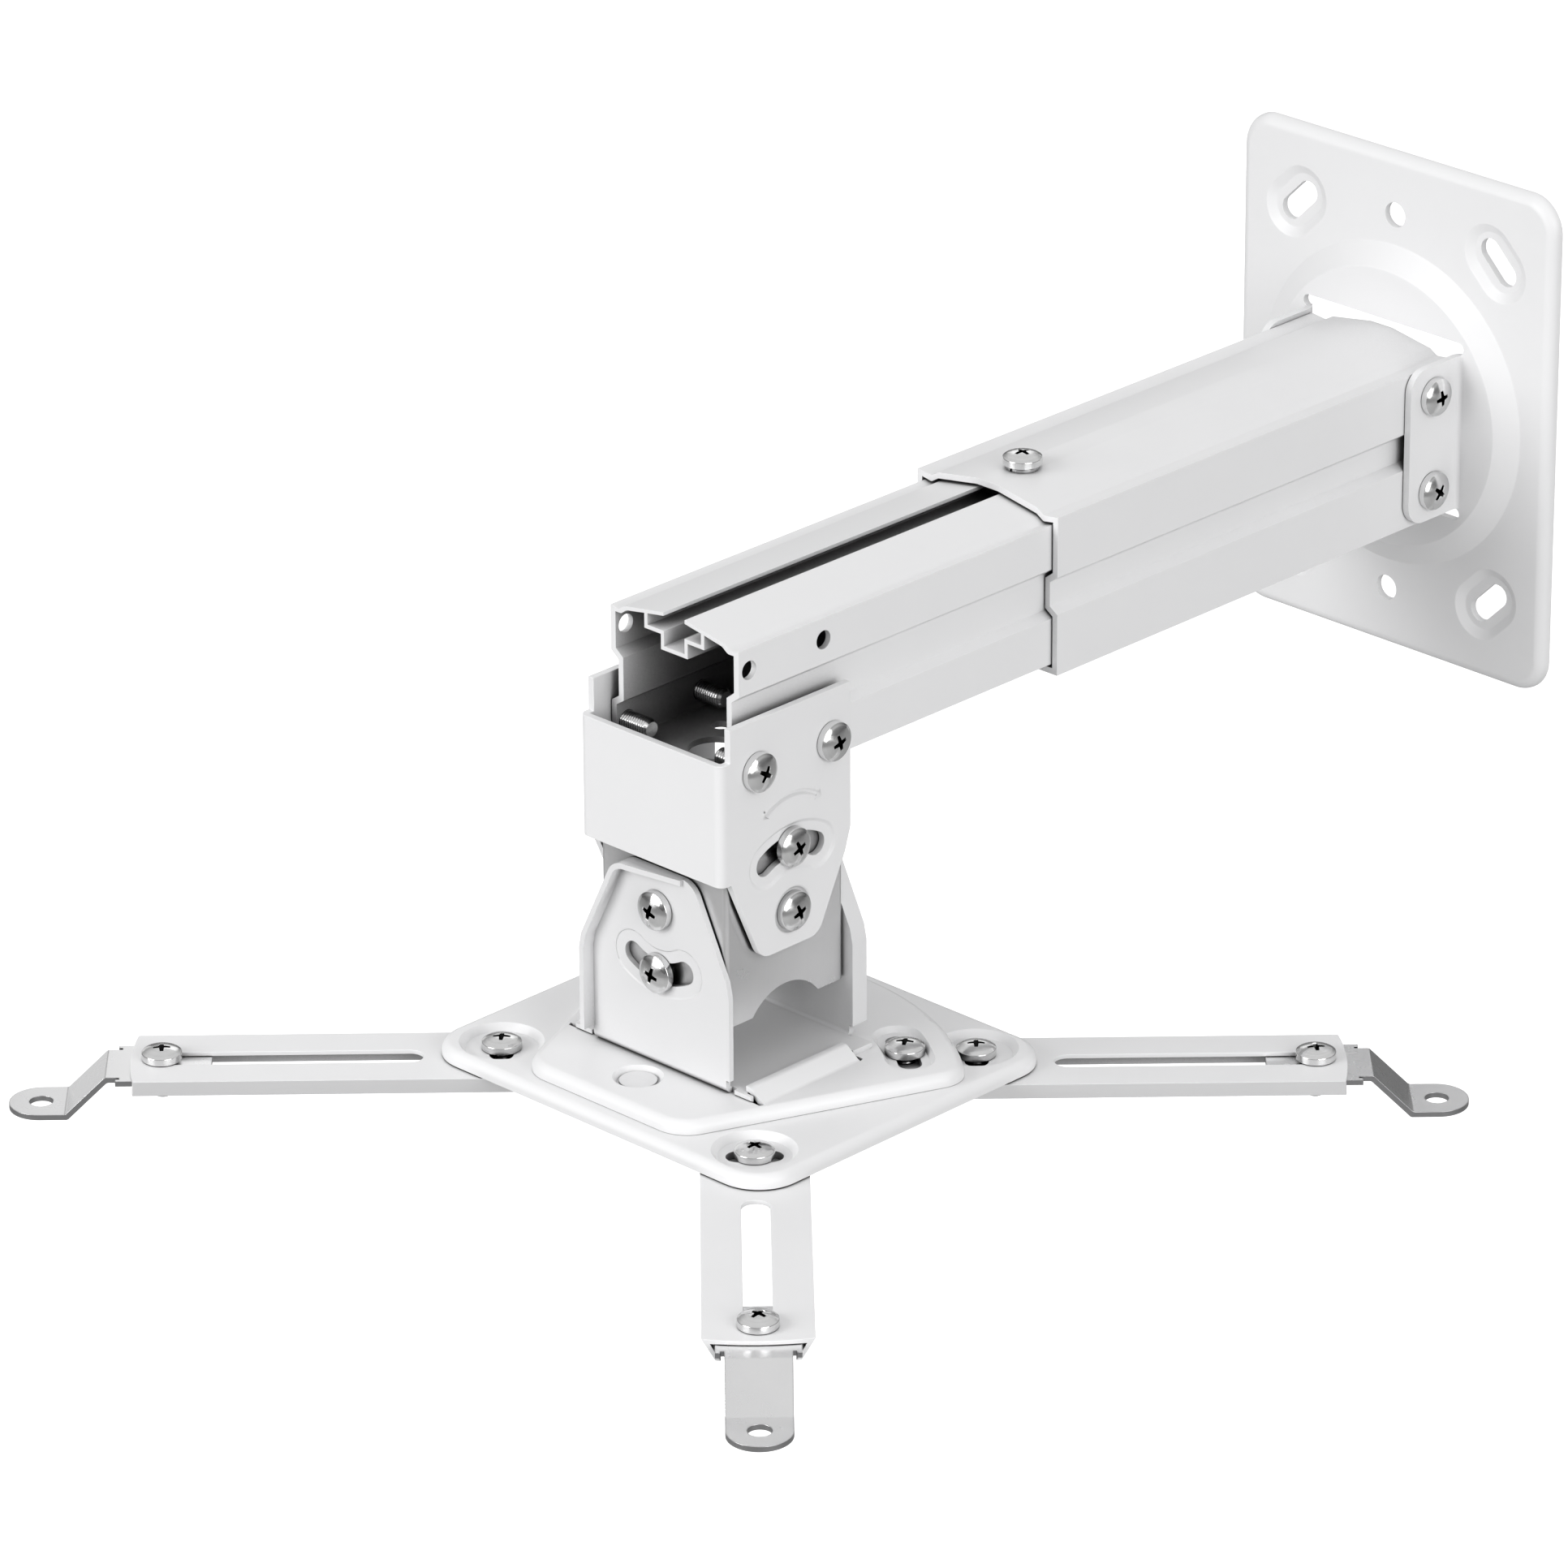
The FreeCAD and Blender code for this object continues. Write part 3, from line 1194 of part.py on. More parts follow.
def make_arm():
    """Channel whose side walls lean inwards and hold the tongue; its origin is the corner screw."""
    body = new_body("arm_channel")
    foot_half = "arm_half_width - arm_inset"
    lean = "(arm_inset / arm_height)"
    wall = f"arm_sheet * sqrt(1 + {lean} * {lean})"
    section = new_sketch(body, "YZ_Plane", "-arm_inner_end")
    right = [
        (foot_half, "-arm_height"),
        ("arm_half_width", "0"),
    ]
    inner = [
        (f"arm_half_width - {wall} - arm_sheet * {lean}", "-arm_sheet"),
        (f"{foot_half} - {wall}", "-arm_height"),
    ]
    left = [(minus(x), z) for x, z in right[::-1]]
    left_inner = [(minus(x), z) for x, z in inner[::-1]]
    outline(section, right + left + left_inner + inner)
    pad(body, section, "arm_inner_end + arm_length")
    end = new_sketch(body, "XY_Plane")
    bow_radius = "(arm_half_width * arm_half_width + arm_end_bow * arm_end_bow) / (2 * arm_end_bow)"
    shoulder = "arm_length - arm_end_bow"
    beyond = "arm_length + arm_sheet"
    aside = "arm_half_width + arm_sheet"
    corners = [
        (shoulder, "-arm_half_width"),
        (shoulder, minus(aside)),
        (beyond, minus(aside)),
        (beyond, aside),
        (shoulder, aside),
        (shoulder, "arm_half_width"),
    ]
    outline(end, corners, arcs={5: (bow_radius, -1)})
    pocket(body, end)
    holes = new_sketch(body, "XY_Plane")
    circle(holes, "0", "0", shank_hole)
    slot_end = plus(tongue_screw_x, shank_hole)
    middle = f"(arm_slot_start + {slot_end}) / 2"
    half_run = f"({slot_end} - arm_slot_start - arm_slot_width) / 2"
    straight_slot(holes, middle, "0", 0, half_run, "arm_slot_width / 2")
    pocket(body, holes)
    return body


def make_tongue():
    """Flat tongue with stop shoulders, a joggled strap and a round foot with the projector's hole."""
    body = new_body("tongue_strip")
    top = "-(arm_sheet + face_gap)"
    low = f"{top} - tongue_sheet"
    foot = f"{top} - strap_drop"
    tail = f"{tongue_screw_x} - tongue_tail"
    shoulder = "arm_length + shoulder_ahead"
    bend = "arm_length + bend_ahead"
    mitre_shift = "tongue_sheet * tan(22.5)"
    tip = f"{foot_hole_x} + strap_half_width"
    side = new_sketch(body, "XZ_Plane")
    corners = [
        (tail, low),
        (f"{bend} - {mitre_shift}", low),
        (f"{bend} + strap_drop - {mitre_shift}", f"{foot} - tongue_sheet"),
        (tip, f"{foot} - tongue_sheet"),
        (tip, foot),
        (f"{bend} + strap_drop", foot),
        (bend, top),
        (tail, top),
    ]
    outline(side, corners)
    pad(body, side, "2 * tongue_half_width", both=True)
    plan = new_sketch(body, "XY_Plane")
    beyond = f"{tip} + tongue_sheet"
    wide = "tongue_half_width + tongue_sheet"
    right = [
        (foot_hole_x, "strap_half_width"),
        (f"{shoulder} - strap_relief", "strap_half_width"),
        (f"{shoulder} - strap_relief", "strap_half_width + strap_relief"),
        (shoulder, "strap_half_width + strap_relief"),
        (shoulder, wide),
        (beyond, wide),
    ]
    border = right + [(x, minus(y)) for x, y in right[::-1]] + [(tip, "0")]
    quarter = ("strap_half_width", 1)
    outline(plan, border, arcs={len(border) - 2: quarter, len(border) - 1: quarter})
    pocket(body, plan)
    collar = new_sketch(body, "XY_Plane", low)
    circle(collar, tongue_screw_x, "0", "collar_radius")
    pad(body, collar, "collar_height", reverse=True)
    holes = new_sketch(body, "XY_Plane")
    circle(holes, tongue_screw_x, "0", thread_hole)
    circle(holes, foot_hole_x, "0", "foot_hole_radius")
    pocket(body, holes)
    return body


def make_hex_nut():
    """Hexagon nut on a corner screw, its top face at z = 0."""
    body = new_body("hex_nut")
    plan = new_sketch(body, "XY_Plane")
    across = "hex_nut_width / sqrt(3)"
    outline(plan, [(f"{across} * cos({turn})", f"{across} * sin({turn})") for turn in range(0, 360, 60)])
    circle(plan, "0", "0", thread_hole)
    pad(body, plan, "hex_nut_height", reverse=True)
    return body


def make_arms():
    """Four corner screws, nuts, arm channels, tongues and clamp screws, one set for each corner."""
    corner_screw = pan_screw("corner_screw", "corner_screw_length")
    tongue_screw = pan_screw("tongue_screw", "screw_length")
    nut = make_hex_nut()
    arm = make_arm()
    tongue = make_tongue()
    arm_z = minus(arm_top)
    for corner, (side, way, heading) in CORNERS.items():
        turned = FreeCAD.Rotation(vector(0, 0, 1), heading)
        seat = corner_place(side, way, f"-({spider_land}) + seat_gap")
        finish(linked(f"corner_screw_{corner}", corner_screw, seat, turned))
        nut_place = corner_place(side, way, f"{arm_z} - arm_sheet - face_gap")
        finish(linked(f"corner_nut_{corner}", nut, nut_place, turned))
        finish(linked(f"arm_{corner}", arm, corner_place(side, way, arm_z), turned))
        finish(linked(f"tongue_{corner}", tongue, corner_place(side, way, arm_z), turned))
        x, y, z = corner_place(side, way, f"{arm_z} + seat_gap")
        x = f"{x} + ({tongue_screw_x}) * cos({heading})"
        y = f"{y} + ({tongue_screw_x}) * sin({heading})"
        finish(linked(f"tongue_screw_{corner}", tongue_screw, (x, y, z), turned))


def make_screws():
    """Screws of the wall plate, the tubes and the head."""
    screw = pan_screw("pan_screw", "screw_length")
    long_screw = pan_screw("long_pan_screw", "long_screw_length")
    short_screw = pan_screw("short_pan_screw", "short_screw_length")
    right = (1, 0, 0)
    left = (-1, 0, 0)
    tab_face = plus(outer_half, "tab_gap", "tab_sheet")
    places = []
    for z in ("tab_screw_z", "-tab_screw_z"):
        places.append((tab_face, "-tab_screw_y", z, right))
        places.append((minus(tab_face), "-tab_screw_y", z, left))
    group("wall_tab_screws", screw, places)

    places = []
    for y in ("-(head_reach + fix_ahead)", "-(head_reach - fix_behind)"):
        places.append((bracket_half, y, "-fix_screw_z", right))
        places.append((minus(bracket_half), y, "-fix_screw_z", left))
    group("bracket_tube_screws", long_screw, places)

    sunk_x = plus(bracket_half, "seat_gap", "-tilt_emboss")
    lock_drop = "pivot_drop - arc_radius"
    for label, drop in (("tilt_pivot_screws", "pivot_drop"), ("tilt_lock_screws", lock_drop)):
        z = f"-({drop})"
        group(label, screw, [(sunk_x, "-head_reach", z, right), (minus(sunk_x), "-head_reach", z, left)])

    for label, drop, seat in (
        ("roll_pivot_screws", "pivot_drop", plus(yoke_face, "seat_gap")),
        ("roll_lock_screws", "pivot_drop + arc_radius", plus(yoke_face, "seat_gap", "-roll_emboss")),
    ):
        z = f"-({drop})"
        front = ("0", f"-(head_reach + {seat})", z, (0, -1, 0))
        back = ("0", f"-(head_reach - ({seat}))", z, (0, 1, 0))
        group(label, screw, [front, back])

    yaw_seat = f"-({yoke_floor} + pan_sink) + seat_gap"
    places = []
    for sign in ("", "-"):
        yaw_x = f"{sign}yaw_radius * sin(yaw_angle)"
        yaw_y = f"-({rivet_y}) + yaw_radius * cos(yaw_angle)"
        places.append((yaw_x, yaw_y, yaw_seat, (0, 0, 1)))
    group("yaw_lock_screws", short_screw, places)

    clamp = pan_screw("clamp_screw", "clamp_screw_length")
    clamp.setExpression("Placement.Base.y", bound("-clamp_y"))
    clamp.setExpression("Placement.Base.z", bound(plus(crown_top, "washer_height")))
    finish(clamp)


def export():
    """Check every object of the document, then write one STEP file for each sub-part."""
    doc.recompute()
    for item in doc.Objects:
        if "Invalid" in item.State or "Error" in item.State:
            raise RuntimeError(f"{item.Label} failed: {item.State}")
    os.makedirs("parts", exist_ok=True)
    for piece in subparts:
        shape = Part.getShape(piece)
        if shape.isNull() or not shape.isValid():
            raise RuntimeError(f"{piece.Label} has no valid shape")
        shape.exportStep(f"parts/{piece.Label}.step")


make_wall_plate()
make_outer_tube()
make_inner_tube()
make_channel_nut()
make_spring_washer()
make_upper_bracket()
make_middle_box()
make_lower_bracket()
make_adapter_plate()
make_rivet()
make_spider_plate()
make_screws()
make_arms()
export()
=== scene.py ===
import json
import logging
import math
from dataclasses import dataclass, field
from enum import Enum
from typing import Optional, Sequence, Union

import bmesh
import bpy
import numpy as np
from mathutils import Matrix, Vector


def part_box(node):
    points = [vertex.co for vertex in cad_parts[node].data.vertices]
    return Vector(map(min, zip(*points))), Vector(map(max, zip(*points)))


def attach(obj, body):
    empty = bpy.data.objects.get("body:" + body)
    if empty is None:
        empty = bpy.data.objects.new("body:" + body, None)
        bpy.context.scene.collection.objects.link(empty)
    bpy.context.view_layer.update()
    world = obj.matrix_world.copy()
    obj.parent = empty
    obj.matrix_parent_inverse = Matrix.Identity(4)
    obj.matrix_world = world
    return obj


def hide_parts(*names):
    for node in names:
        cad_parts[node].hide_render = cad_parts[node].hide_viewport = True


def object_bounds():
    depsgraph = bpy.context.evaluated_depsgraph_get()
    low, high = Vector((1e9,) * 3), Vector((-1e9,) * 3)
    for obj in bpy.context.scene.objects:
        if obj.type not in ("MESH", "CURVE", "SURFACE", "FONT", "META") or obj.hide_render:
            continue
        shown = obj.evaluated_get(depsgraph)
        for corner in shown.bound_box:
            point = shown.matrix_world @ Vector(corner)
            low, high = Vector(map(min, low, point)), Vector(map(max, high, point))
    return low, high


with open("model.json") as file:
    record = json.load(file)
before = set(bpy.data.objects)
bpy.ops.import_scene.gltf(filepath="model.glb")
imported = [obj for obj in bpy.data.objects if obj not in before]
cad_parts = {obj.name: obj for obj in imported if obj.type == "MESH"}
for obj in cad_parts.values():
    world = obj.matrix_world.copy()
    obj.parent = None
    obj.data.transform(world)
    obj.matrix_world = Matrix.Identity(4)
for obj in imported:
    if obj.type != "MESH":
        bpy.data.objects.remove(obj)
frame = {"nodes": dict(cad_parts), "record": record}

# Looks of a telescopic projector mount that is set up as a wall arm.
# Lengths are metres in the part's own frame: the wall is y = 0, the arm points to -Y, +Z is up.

MM = 0.001
CORNERS = ("front_left", "front_right", "back_right", "back_left")

# Points nearer than WELD are one point. SEAM is the same across the seams between a CAD solid's faces.
WELD = 0.001 * MM
SEAM = 0.002 * MM
# Faces that meet below this angle are one flat face.
FLAT_ANGLE = math.radians(0.4)
# How strongly large faces rule the shading of a piece's corners, of 100.
FLAT_WEIGHT = 80
# Rays of each mask that looks at the shape around a point.
MASK_SAMPLES = 8
# Places of the colours among the sockets of Blender's Mix node.
MIX_FIRST, MIX_SECOND, MIX_RESULT = 6, 7, 2

log = logging.getLogger("projector_mount")
cad_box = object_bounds()
body_of = {node: body for body, nodes in frame["record"]["behaviour"]["bodies"].items() for node in nodes}


class Slot(Enum):
    """Material slots of the record that the finishes stand for."""

    COAT = "white_coat"
    ZINC = "zinc_steel"
    SCREW = "screw_steel"


class Way(Enum):
    """Which way the heads of a group of screws look."""

    SIDES = "away from the plane x = 0"
    ENDS = "away from the head's middle along y"
    UP = "along +z"


Socket = Union[bpy.types.NodeSocket, float, tuple]


class Sheet:
    """A node tree with short calls for adding linked nodes."""

    def __init__(self, tree: bpy.types.NodeTree) -> None:
        """Take the tree to fill.

        Args:
            tree: The material's or group's node tree.
        """
        self.tree = tree

    def add(self, kind: str, options: Optional[dict] = None, **inputs: Socket) -> bpy.types.Node:
        """Add one node and feed its inputs.

        Args:
            kind: The node's type name.
            options: Properties of the node itself.
            **inputs: Input sockets by name, with underscores for spaces; a socket links, a number is set.

        Returns:
            The new node.
        """
        node = self.tree.nodes.new(kind)
        for name, setting in (options or {}).items():
            setattr(node, name, setting)
        for name, feed in inputs.items():
            self.feed(node.inputs[name.replace("_", " ")], feed)
        return node

    def feed(self, socket: bpy.types.NodeSocket, feed: Socket) -> None:
        """Link or set one input.

        Args:
            socket: The input.
            feed: An output socket, or a plain value.
        """
        if isinstance(feed, bpy.types.NodeSocket):
            self.tree.links.new(feed, socket)
        else:
            socket.default_value = feed

    def math(self, operation: str, first: Socket, second: Socket = 0.0,
             third: Socket = 0.0) -> bpy.types.NodeSocket:
        """Add a math node.

        Args:
            operation: Blender's name of the operation.
            first: The first operand.
            second: The second operand.
            third: The third operand, where the operation has one.

        Returns:
            Its output.
        """
        node = self.tree.nodes.new("ShaderNodeMath")
        node.operation = operation
        for socket, feed in zip(node.inputs, (first, second, third)):
            self.feed(socket, feed)
        return node.outputs[0]

    def stretched(self, vector: Socket, scale: tuple[float, float, float]) -> bpy.types.NodeSocket:
        """Scale a coordinate along each axis.

        Args:
            vector: The coordinate.
            scale: Repeats a metre along x, y and z.

        Returns:
            The scaled coordinate.
        """
        node = self.tree.nodes.new("ShaderNodeVectorMath")
        node.operation = "MULTIPLY"
        self.feed(node.inputs[0], vector)
        node.inputs[1].default_value = scale
        return node.outputs[0]

    def noise(self, vector: Socket, scale: Socket, detail: float = 2.0) -> bpy.types.NodeSocket:
        """Add a noise texture.

        Args:
            vector: The coordinate.
            scale: Features a metre.
            detail: Octaves above the first.

        Returns:
            Its grey output.
        """
        return self.add("ShaderNodeTexNoise", Vector=vector, Scale=scale, Detail=detail).outputs["Fac"]

    def ramp(self, value: Socket, low: Socket, high: Socket) -> bpy.types.NodeSocket:
        """Map 0..1 to a range.

        Args:
            value: The value to map.
            low: What 0 becomes.
            high: What 1 becomes.

        Returns:
            The mapped value.
        """
        return self.add("ShaderNodeMapRange", Value=value, To_Min=low, To_Max=high).outputs[0]

    def span(self, value: Socket, zero: Socket, one: Socket) -> bpy.types.NodeSocket:
        """Map a range to 0..1.

        Args:
            value: The value to map.
            zero: What becomes 0.
            one: What becomes 1.

        Returns:
            The mapped value, held between 0 and 1.
        """
        return self.add("ShaderNodeMapRange", Value=value, From_Min=zero, From_Max=one).outputs[0]

    def blend(self, share: Socket, first: Socket, second: Socket) -> bpy.types.NodeSocket:
        """Mix two colours.

        Args:
            share: How much of the second, 0..1.
            first: The first colour, linked or as three numbers.
            second: The second colour, linked or as three numbers.

        Returns:
            The mixed colour.
        """
        node = self.add("ShaderNodeMix", {"data_type": "RGBA"}, Factor=share)
        for place, feed in ((MIX_FIRST, first), (MIX_SECOND, second)):
            linked = isinstance(feed, bpy.types.NodeSocket)
            self.feed(node.inputs[place], feed if linked else (*feed, 1.0))
        return node.outputs[MIX_RESULT]

    def place(self) -> bpy.types.NodeSocket:
        """The place on the piece, in metres."""
        return self.add("ShaderNodeTexCoord").outputs["Object"]

    def bump(self, strength: float, distance: float, height: Socket) -> bpy.types.Node:
        """Add a bump.

        Args:
            strength: How much of it shows, 0..1.
            distance: What a height of 1 stands for, in metres.
            height: The height.

        Returns:
            The node, whose Normal takes a bump below this one.
        """
        return self.add("ShaderNodeBump", Strength=strength, Distance=distance, Height=height)

    def effect(self, group: bpy.types.NodeTree, **inputs: Socket) -> bpy.types.bpy_prop_collection:
        """Add a shared effect.

        Args:
            group: The effect's node group.
            **inputs: Its inputs, as for add.

        Returns:
            Its outputs.
        """
        return self.add("ShaderNodeGroup", {"node_tree": group}, **inputs).outputs


def new_group(name: str, inputs: dict[str, float],
              outputs: Sequence[str]) -> tuple[Sheet, bpy.types.Node, bpy.types.Node]:
    """Make an empty shader node group with named number sockets.

    Args:
        name: The group's name.
        inputs: Default values of the inputs.
        outputs: Names of the outputs.

    Returns:
        The sheet, the group's input node and its output node.
    """
    tree = bpy.data.node_groups.new(name, "ShaderNodeTree")
    for label, default in inputs.items():
        socket = tree.interface.new_socket(label, in_out="INPUT", socket_type="NodeSocketFloat")
        socket.default_value = default
    for label in outputs:
        tree.interface.new_socket(label, in_out="OUTPUT", socket_type="NodeSocketFloat")
    return Sheet(tree), tree.nodes.new("NodeGroupInput"), tree.nodes.new("NodeGroupOutput")


@dataclass(frozen=True)
class Effects:
    """Shader effects that more than one finish uses, each a node group."""

    peel: bpy.types.NodeTree
    drawn: bpy.types.NodeTree
    plated: bpy.types.NodeTree
    turned: bpy.types.NodeTree
    edges: bpy.types.NodeTree
    deep: bpy.types.NodeTree


def orange_peel() -> bpy.types.NodeTree:
    """Fine skin of a baked coat: small bumps and slow swells.

    Returns:
        The group, with Height and Tone.
    """
    swell_share = 1.6
    sheet, given, out = new_group("orange_peel", {"Bumps": 1100.0, "Swells": 45.0}, ("Height", "Tone"))
    place = sheet.place()
    bumps = sheet.noise(place, given.outputs["Bumps"], detail=1.5)
    swells = sheet.noise(place, given.outputs["Swells"], detail=3.0)
    sheet.feed(out.inputs["Height"], sheet.math("MULTIPLY_ADD", swells, swell_share, bumps))
    sheet.feed(out.inputs["Tone"], swells)
    return sheet.tree


def drawn_lines() -> bpy.types.NodeTree:
    """Faint lines that a die leaves along an extrusion, which runs along y.

    Returns:
        The group, with Height.
    """
    across = 900.0
    along = 3.0
    sheet, given, out = new_group("drawn_lines", {"Lines": 1.0}, ("Height",))
    drawn = sheet.stretched(sheet.place(), (across, along, across))
    sheet.feed(out.inputs["Height"], sheet.noise(drawn, given.outputs["Lines"], detail=3.0))
    return sheet.tree


def plated_sheet() -> bpy.types.NodeTree:
    """Cloudy patches and rolled grain of zinc-plated sheet.

    Returns:
        The group, with Tone, Roughness and Height.
    """
    across = 2600.0
    along = 60.0
    grain_share = 0.35
    inputs = {"Patches": 260.0, "Grain": 1.0}
    sheet, given, out = new_group("plated_sheet", inputs, ("Tone", "Roughness", "Height"))
    place = sheet.place()
    patches = sheet.noise(place, given.outputs["Patches"], detail=4.0)
    rolled = sheet.noise(sheet.stretched(place, (across, across, along)), given.outputs["Grain"])
    sheet.feed(out.inputs["Tone"], sheet.math("MULTIPLY_ADD", rolled, grain_share, patches))
    sheet.feed(out.inputs["Roughness"], patches)
    sheet.feed(out.inputs["Height"], rolled)
    return sheet.tree


def turned_rings() -> bpy.types.NodeTree:
    """Rings of a turned face and the dark of its recess, read from the piece's own lathe places.

    Returns:
        The group, with Height, Tone and Recess.
    """
    bright_above = 0.1
    inputs = {"Rings": 5.0, "Dark below": 0.35}
    sheet, given, out = new_group("turned_rings", inputs, ("Height", "Tone", "Recess"))
    lathe_place = sheet.add("ShaderNodeAttribute", {"attribute_name": "lathe"}).outputs["Vector"]
    parted = sheet.add("ShaderNodeSeparateXYZ", Vector=lathe_place).outputs
    rings = sheet.math("MULTIPLY", parted["X"], given.outputs["Rings"])
    ring = sheet.add("ShaderNodeCombineXYZ", X=rings, Y=parted["Z"]).outputs[0]
    sheet.feed(out.inputs["Height"], sheet.noise(ring, scale=1.0, detail=3.0))
    sheet.feed(out.inputs["Tone"], sheet.noise(lathe_place, scale=1.3, detail=3.0))
    # Recess masks the painted shade in the cross recess, from bright_above down to Dark below.
    sheet.feed(out.inputs["Recess"], sheet.span(parted["Y"], bright_above, given.outputs["Dark below"]))
    return sheet.tree


def edge_mask() -> bpy.types.NodeTree:
    """White on convex and concave edges, from the difference between a rounded normal and the true one.

    Returns:
        The group, with Mask.
    """
    flat_likeness = 0.97
    edge_likeness = 0.72
    sheet, given, out = new_group("edge_mask", {"Width": 0.6 * MM}, ("Mask",))
    options = {"samples": MASK_SAMPLES}
    rounded = sheet.add("ShaderNodeBevel", options, Radius=given.outputs["Width"]).outputs[0]
    true = sheet.add("ShaderNodeNewGeometry").outputs["Normal"]
    likeness = sheet.tree.nodes.new("ShaderNodeVectorMath")
    likeness.operation = "DOT_PRODUCT"
    sheet.feed(likeness.inputs[0], rounded)
    sheet.feed(likeness.inputs[1], true)
    sheet.feed(out.inputs["Mask"], sheet.span(likeness.outputs["Value"], flat_likeness, edge_likeness))
    return sheet.tree


def deep_shade() -> bpy.types.NodeTree:
    """How closed in a place is: 0 in the open, 1 far inside a tube, a slot or the gap between two sheets.

    Returns:
        The group, with Mask.
    """
    # The finishes paint shade into their colour with this mask: deep in tubes and slots and in gaps
    # between parts.
    closed_inside = 0.05
    closed_gap = 0.15
    inputs = {"Reach": 25 * MM, "Open": 0.5, "Gap": 3 * MM, "Gap open": 0.55}
    sheet, given, out = new_group("deep_shade", inputs, ("Mask",))
    options = {"samples": MASK_SAMPLES}
    masks = []
    for reach, opened, closed in (("Reach", "Open", closed_inside), ("Gap", "Gap open", closed_gap)):
        seen = sheet.add("ShaderNodeAmbientOcclusion", options, Distance=given.outputs[reach])
        masks.append(sheet.span(seen.outputs["AO"], given.outputs[opened], closed))
    sheet.feed(out.inputs["Mask"], sheet.math("MAXIMUM", *masks))
    return sheet.tree


def make_effects() -> Effects:
    """Build every shared effect once.

    Returns:
        The groups.
    """
    return Effects(orange_peel(), drawn_lines(), plated_sheet(), turned_rings(), edge_mask(), deep_shade())


def new_material(name: str) -> tuple[bpy.types.Material, Sheet, bpy.types.Node]:
    """Start a node material.

    Args:
        name: The material's name.

    Returns:
        The material, its sheet and its Principled shader.
    """
    material = bpy.data.materials.new(name)
    material.use_nodes = True
    sheet = Sheet(material.node_tree)
    return material, sheet, material.node_tree.nodes["Principled BSDF"]


@dataclass(frozen=True)
class CoatFinish:
    """White powder coat on steel or on an aluminium extrusion.

    reach is how far deep_shade looks, open is the share of open space above which it adds nothing, and
    the darkest colour is the painted shade deep inside tubes, slots and gaps.
    """

    name: str
    light: tuple[float, float, float] = (0.835, 0.835, 0.84)
    dark: tuple[float, float, float] = (0.805, 0.805, 0.812)
    painted_shade: tuple[float, float, float] = (0.05, 0.047, 0.05)
    reach: float = 25 * MM
    open: float = 0.5
    roughness: float = 0.42
    roughness_spread: float = 0.05
    bumps: float = 1100.0
    swells: float = 45.0
    peel: float = 0.12
    lines: float = 0.0
    relief: float = 0.02 * MM
    ior: float = 1.5

    def build(self, effects: Effects) -> bpy.types.Material:
        """Make the material.

        Args:
            effects: The shared groups.

        Returns:
            The material.
        """
        material, sheet, shader = new_material(self.name)
        skin = sheet.effect(effects.peel, Bumps=self.bumps, Swells=self.swells)
        deep = sheet.effect(effects.deep, Reach=self.reach, Open=self.open)
        tone = sheet.blend(skin["Tone"], self.light, self.dark)
        # Painted shade: deep inside tubes, slots and gaps the coat's colour turns to the dark shade
        # colour.
        sheet.feed(shader.inputs["Base Color"], sheet.blend(deep["Mask"], tone, self.painted_shade))
        smooth = self.roughness - self.roughness_spread
        rough = self.roughness + self.roughness_spread
        sheet.feed(shader.inputs["Roughness"], sheet.ramp(skin["Tone"], smooth, rough))
        bump = sheet.bump(self.peel, self.relief, skin["Height"])
        if self.lines:
            lines = sheet.bump(self.lines, self.relief, sheet.effect(effects.drawn)["Height"])
            sheet.feed(bump.inputs["Normal"], lines.outputs[0])
        sheet.feed(shader.inputs["Normal"], bump.outputs[0])
        shader.inputs["IOR"].default_value = self.ior
        return material


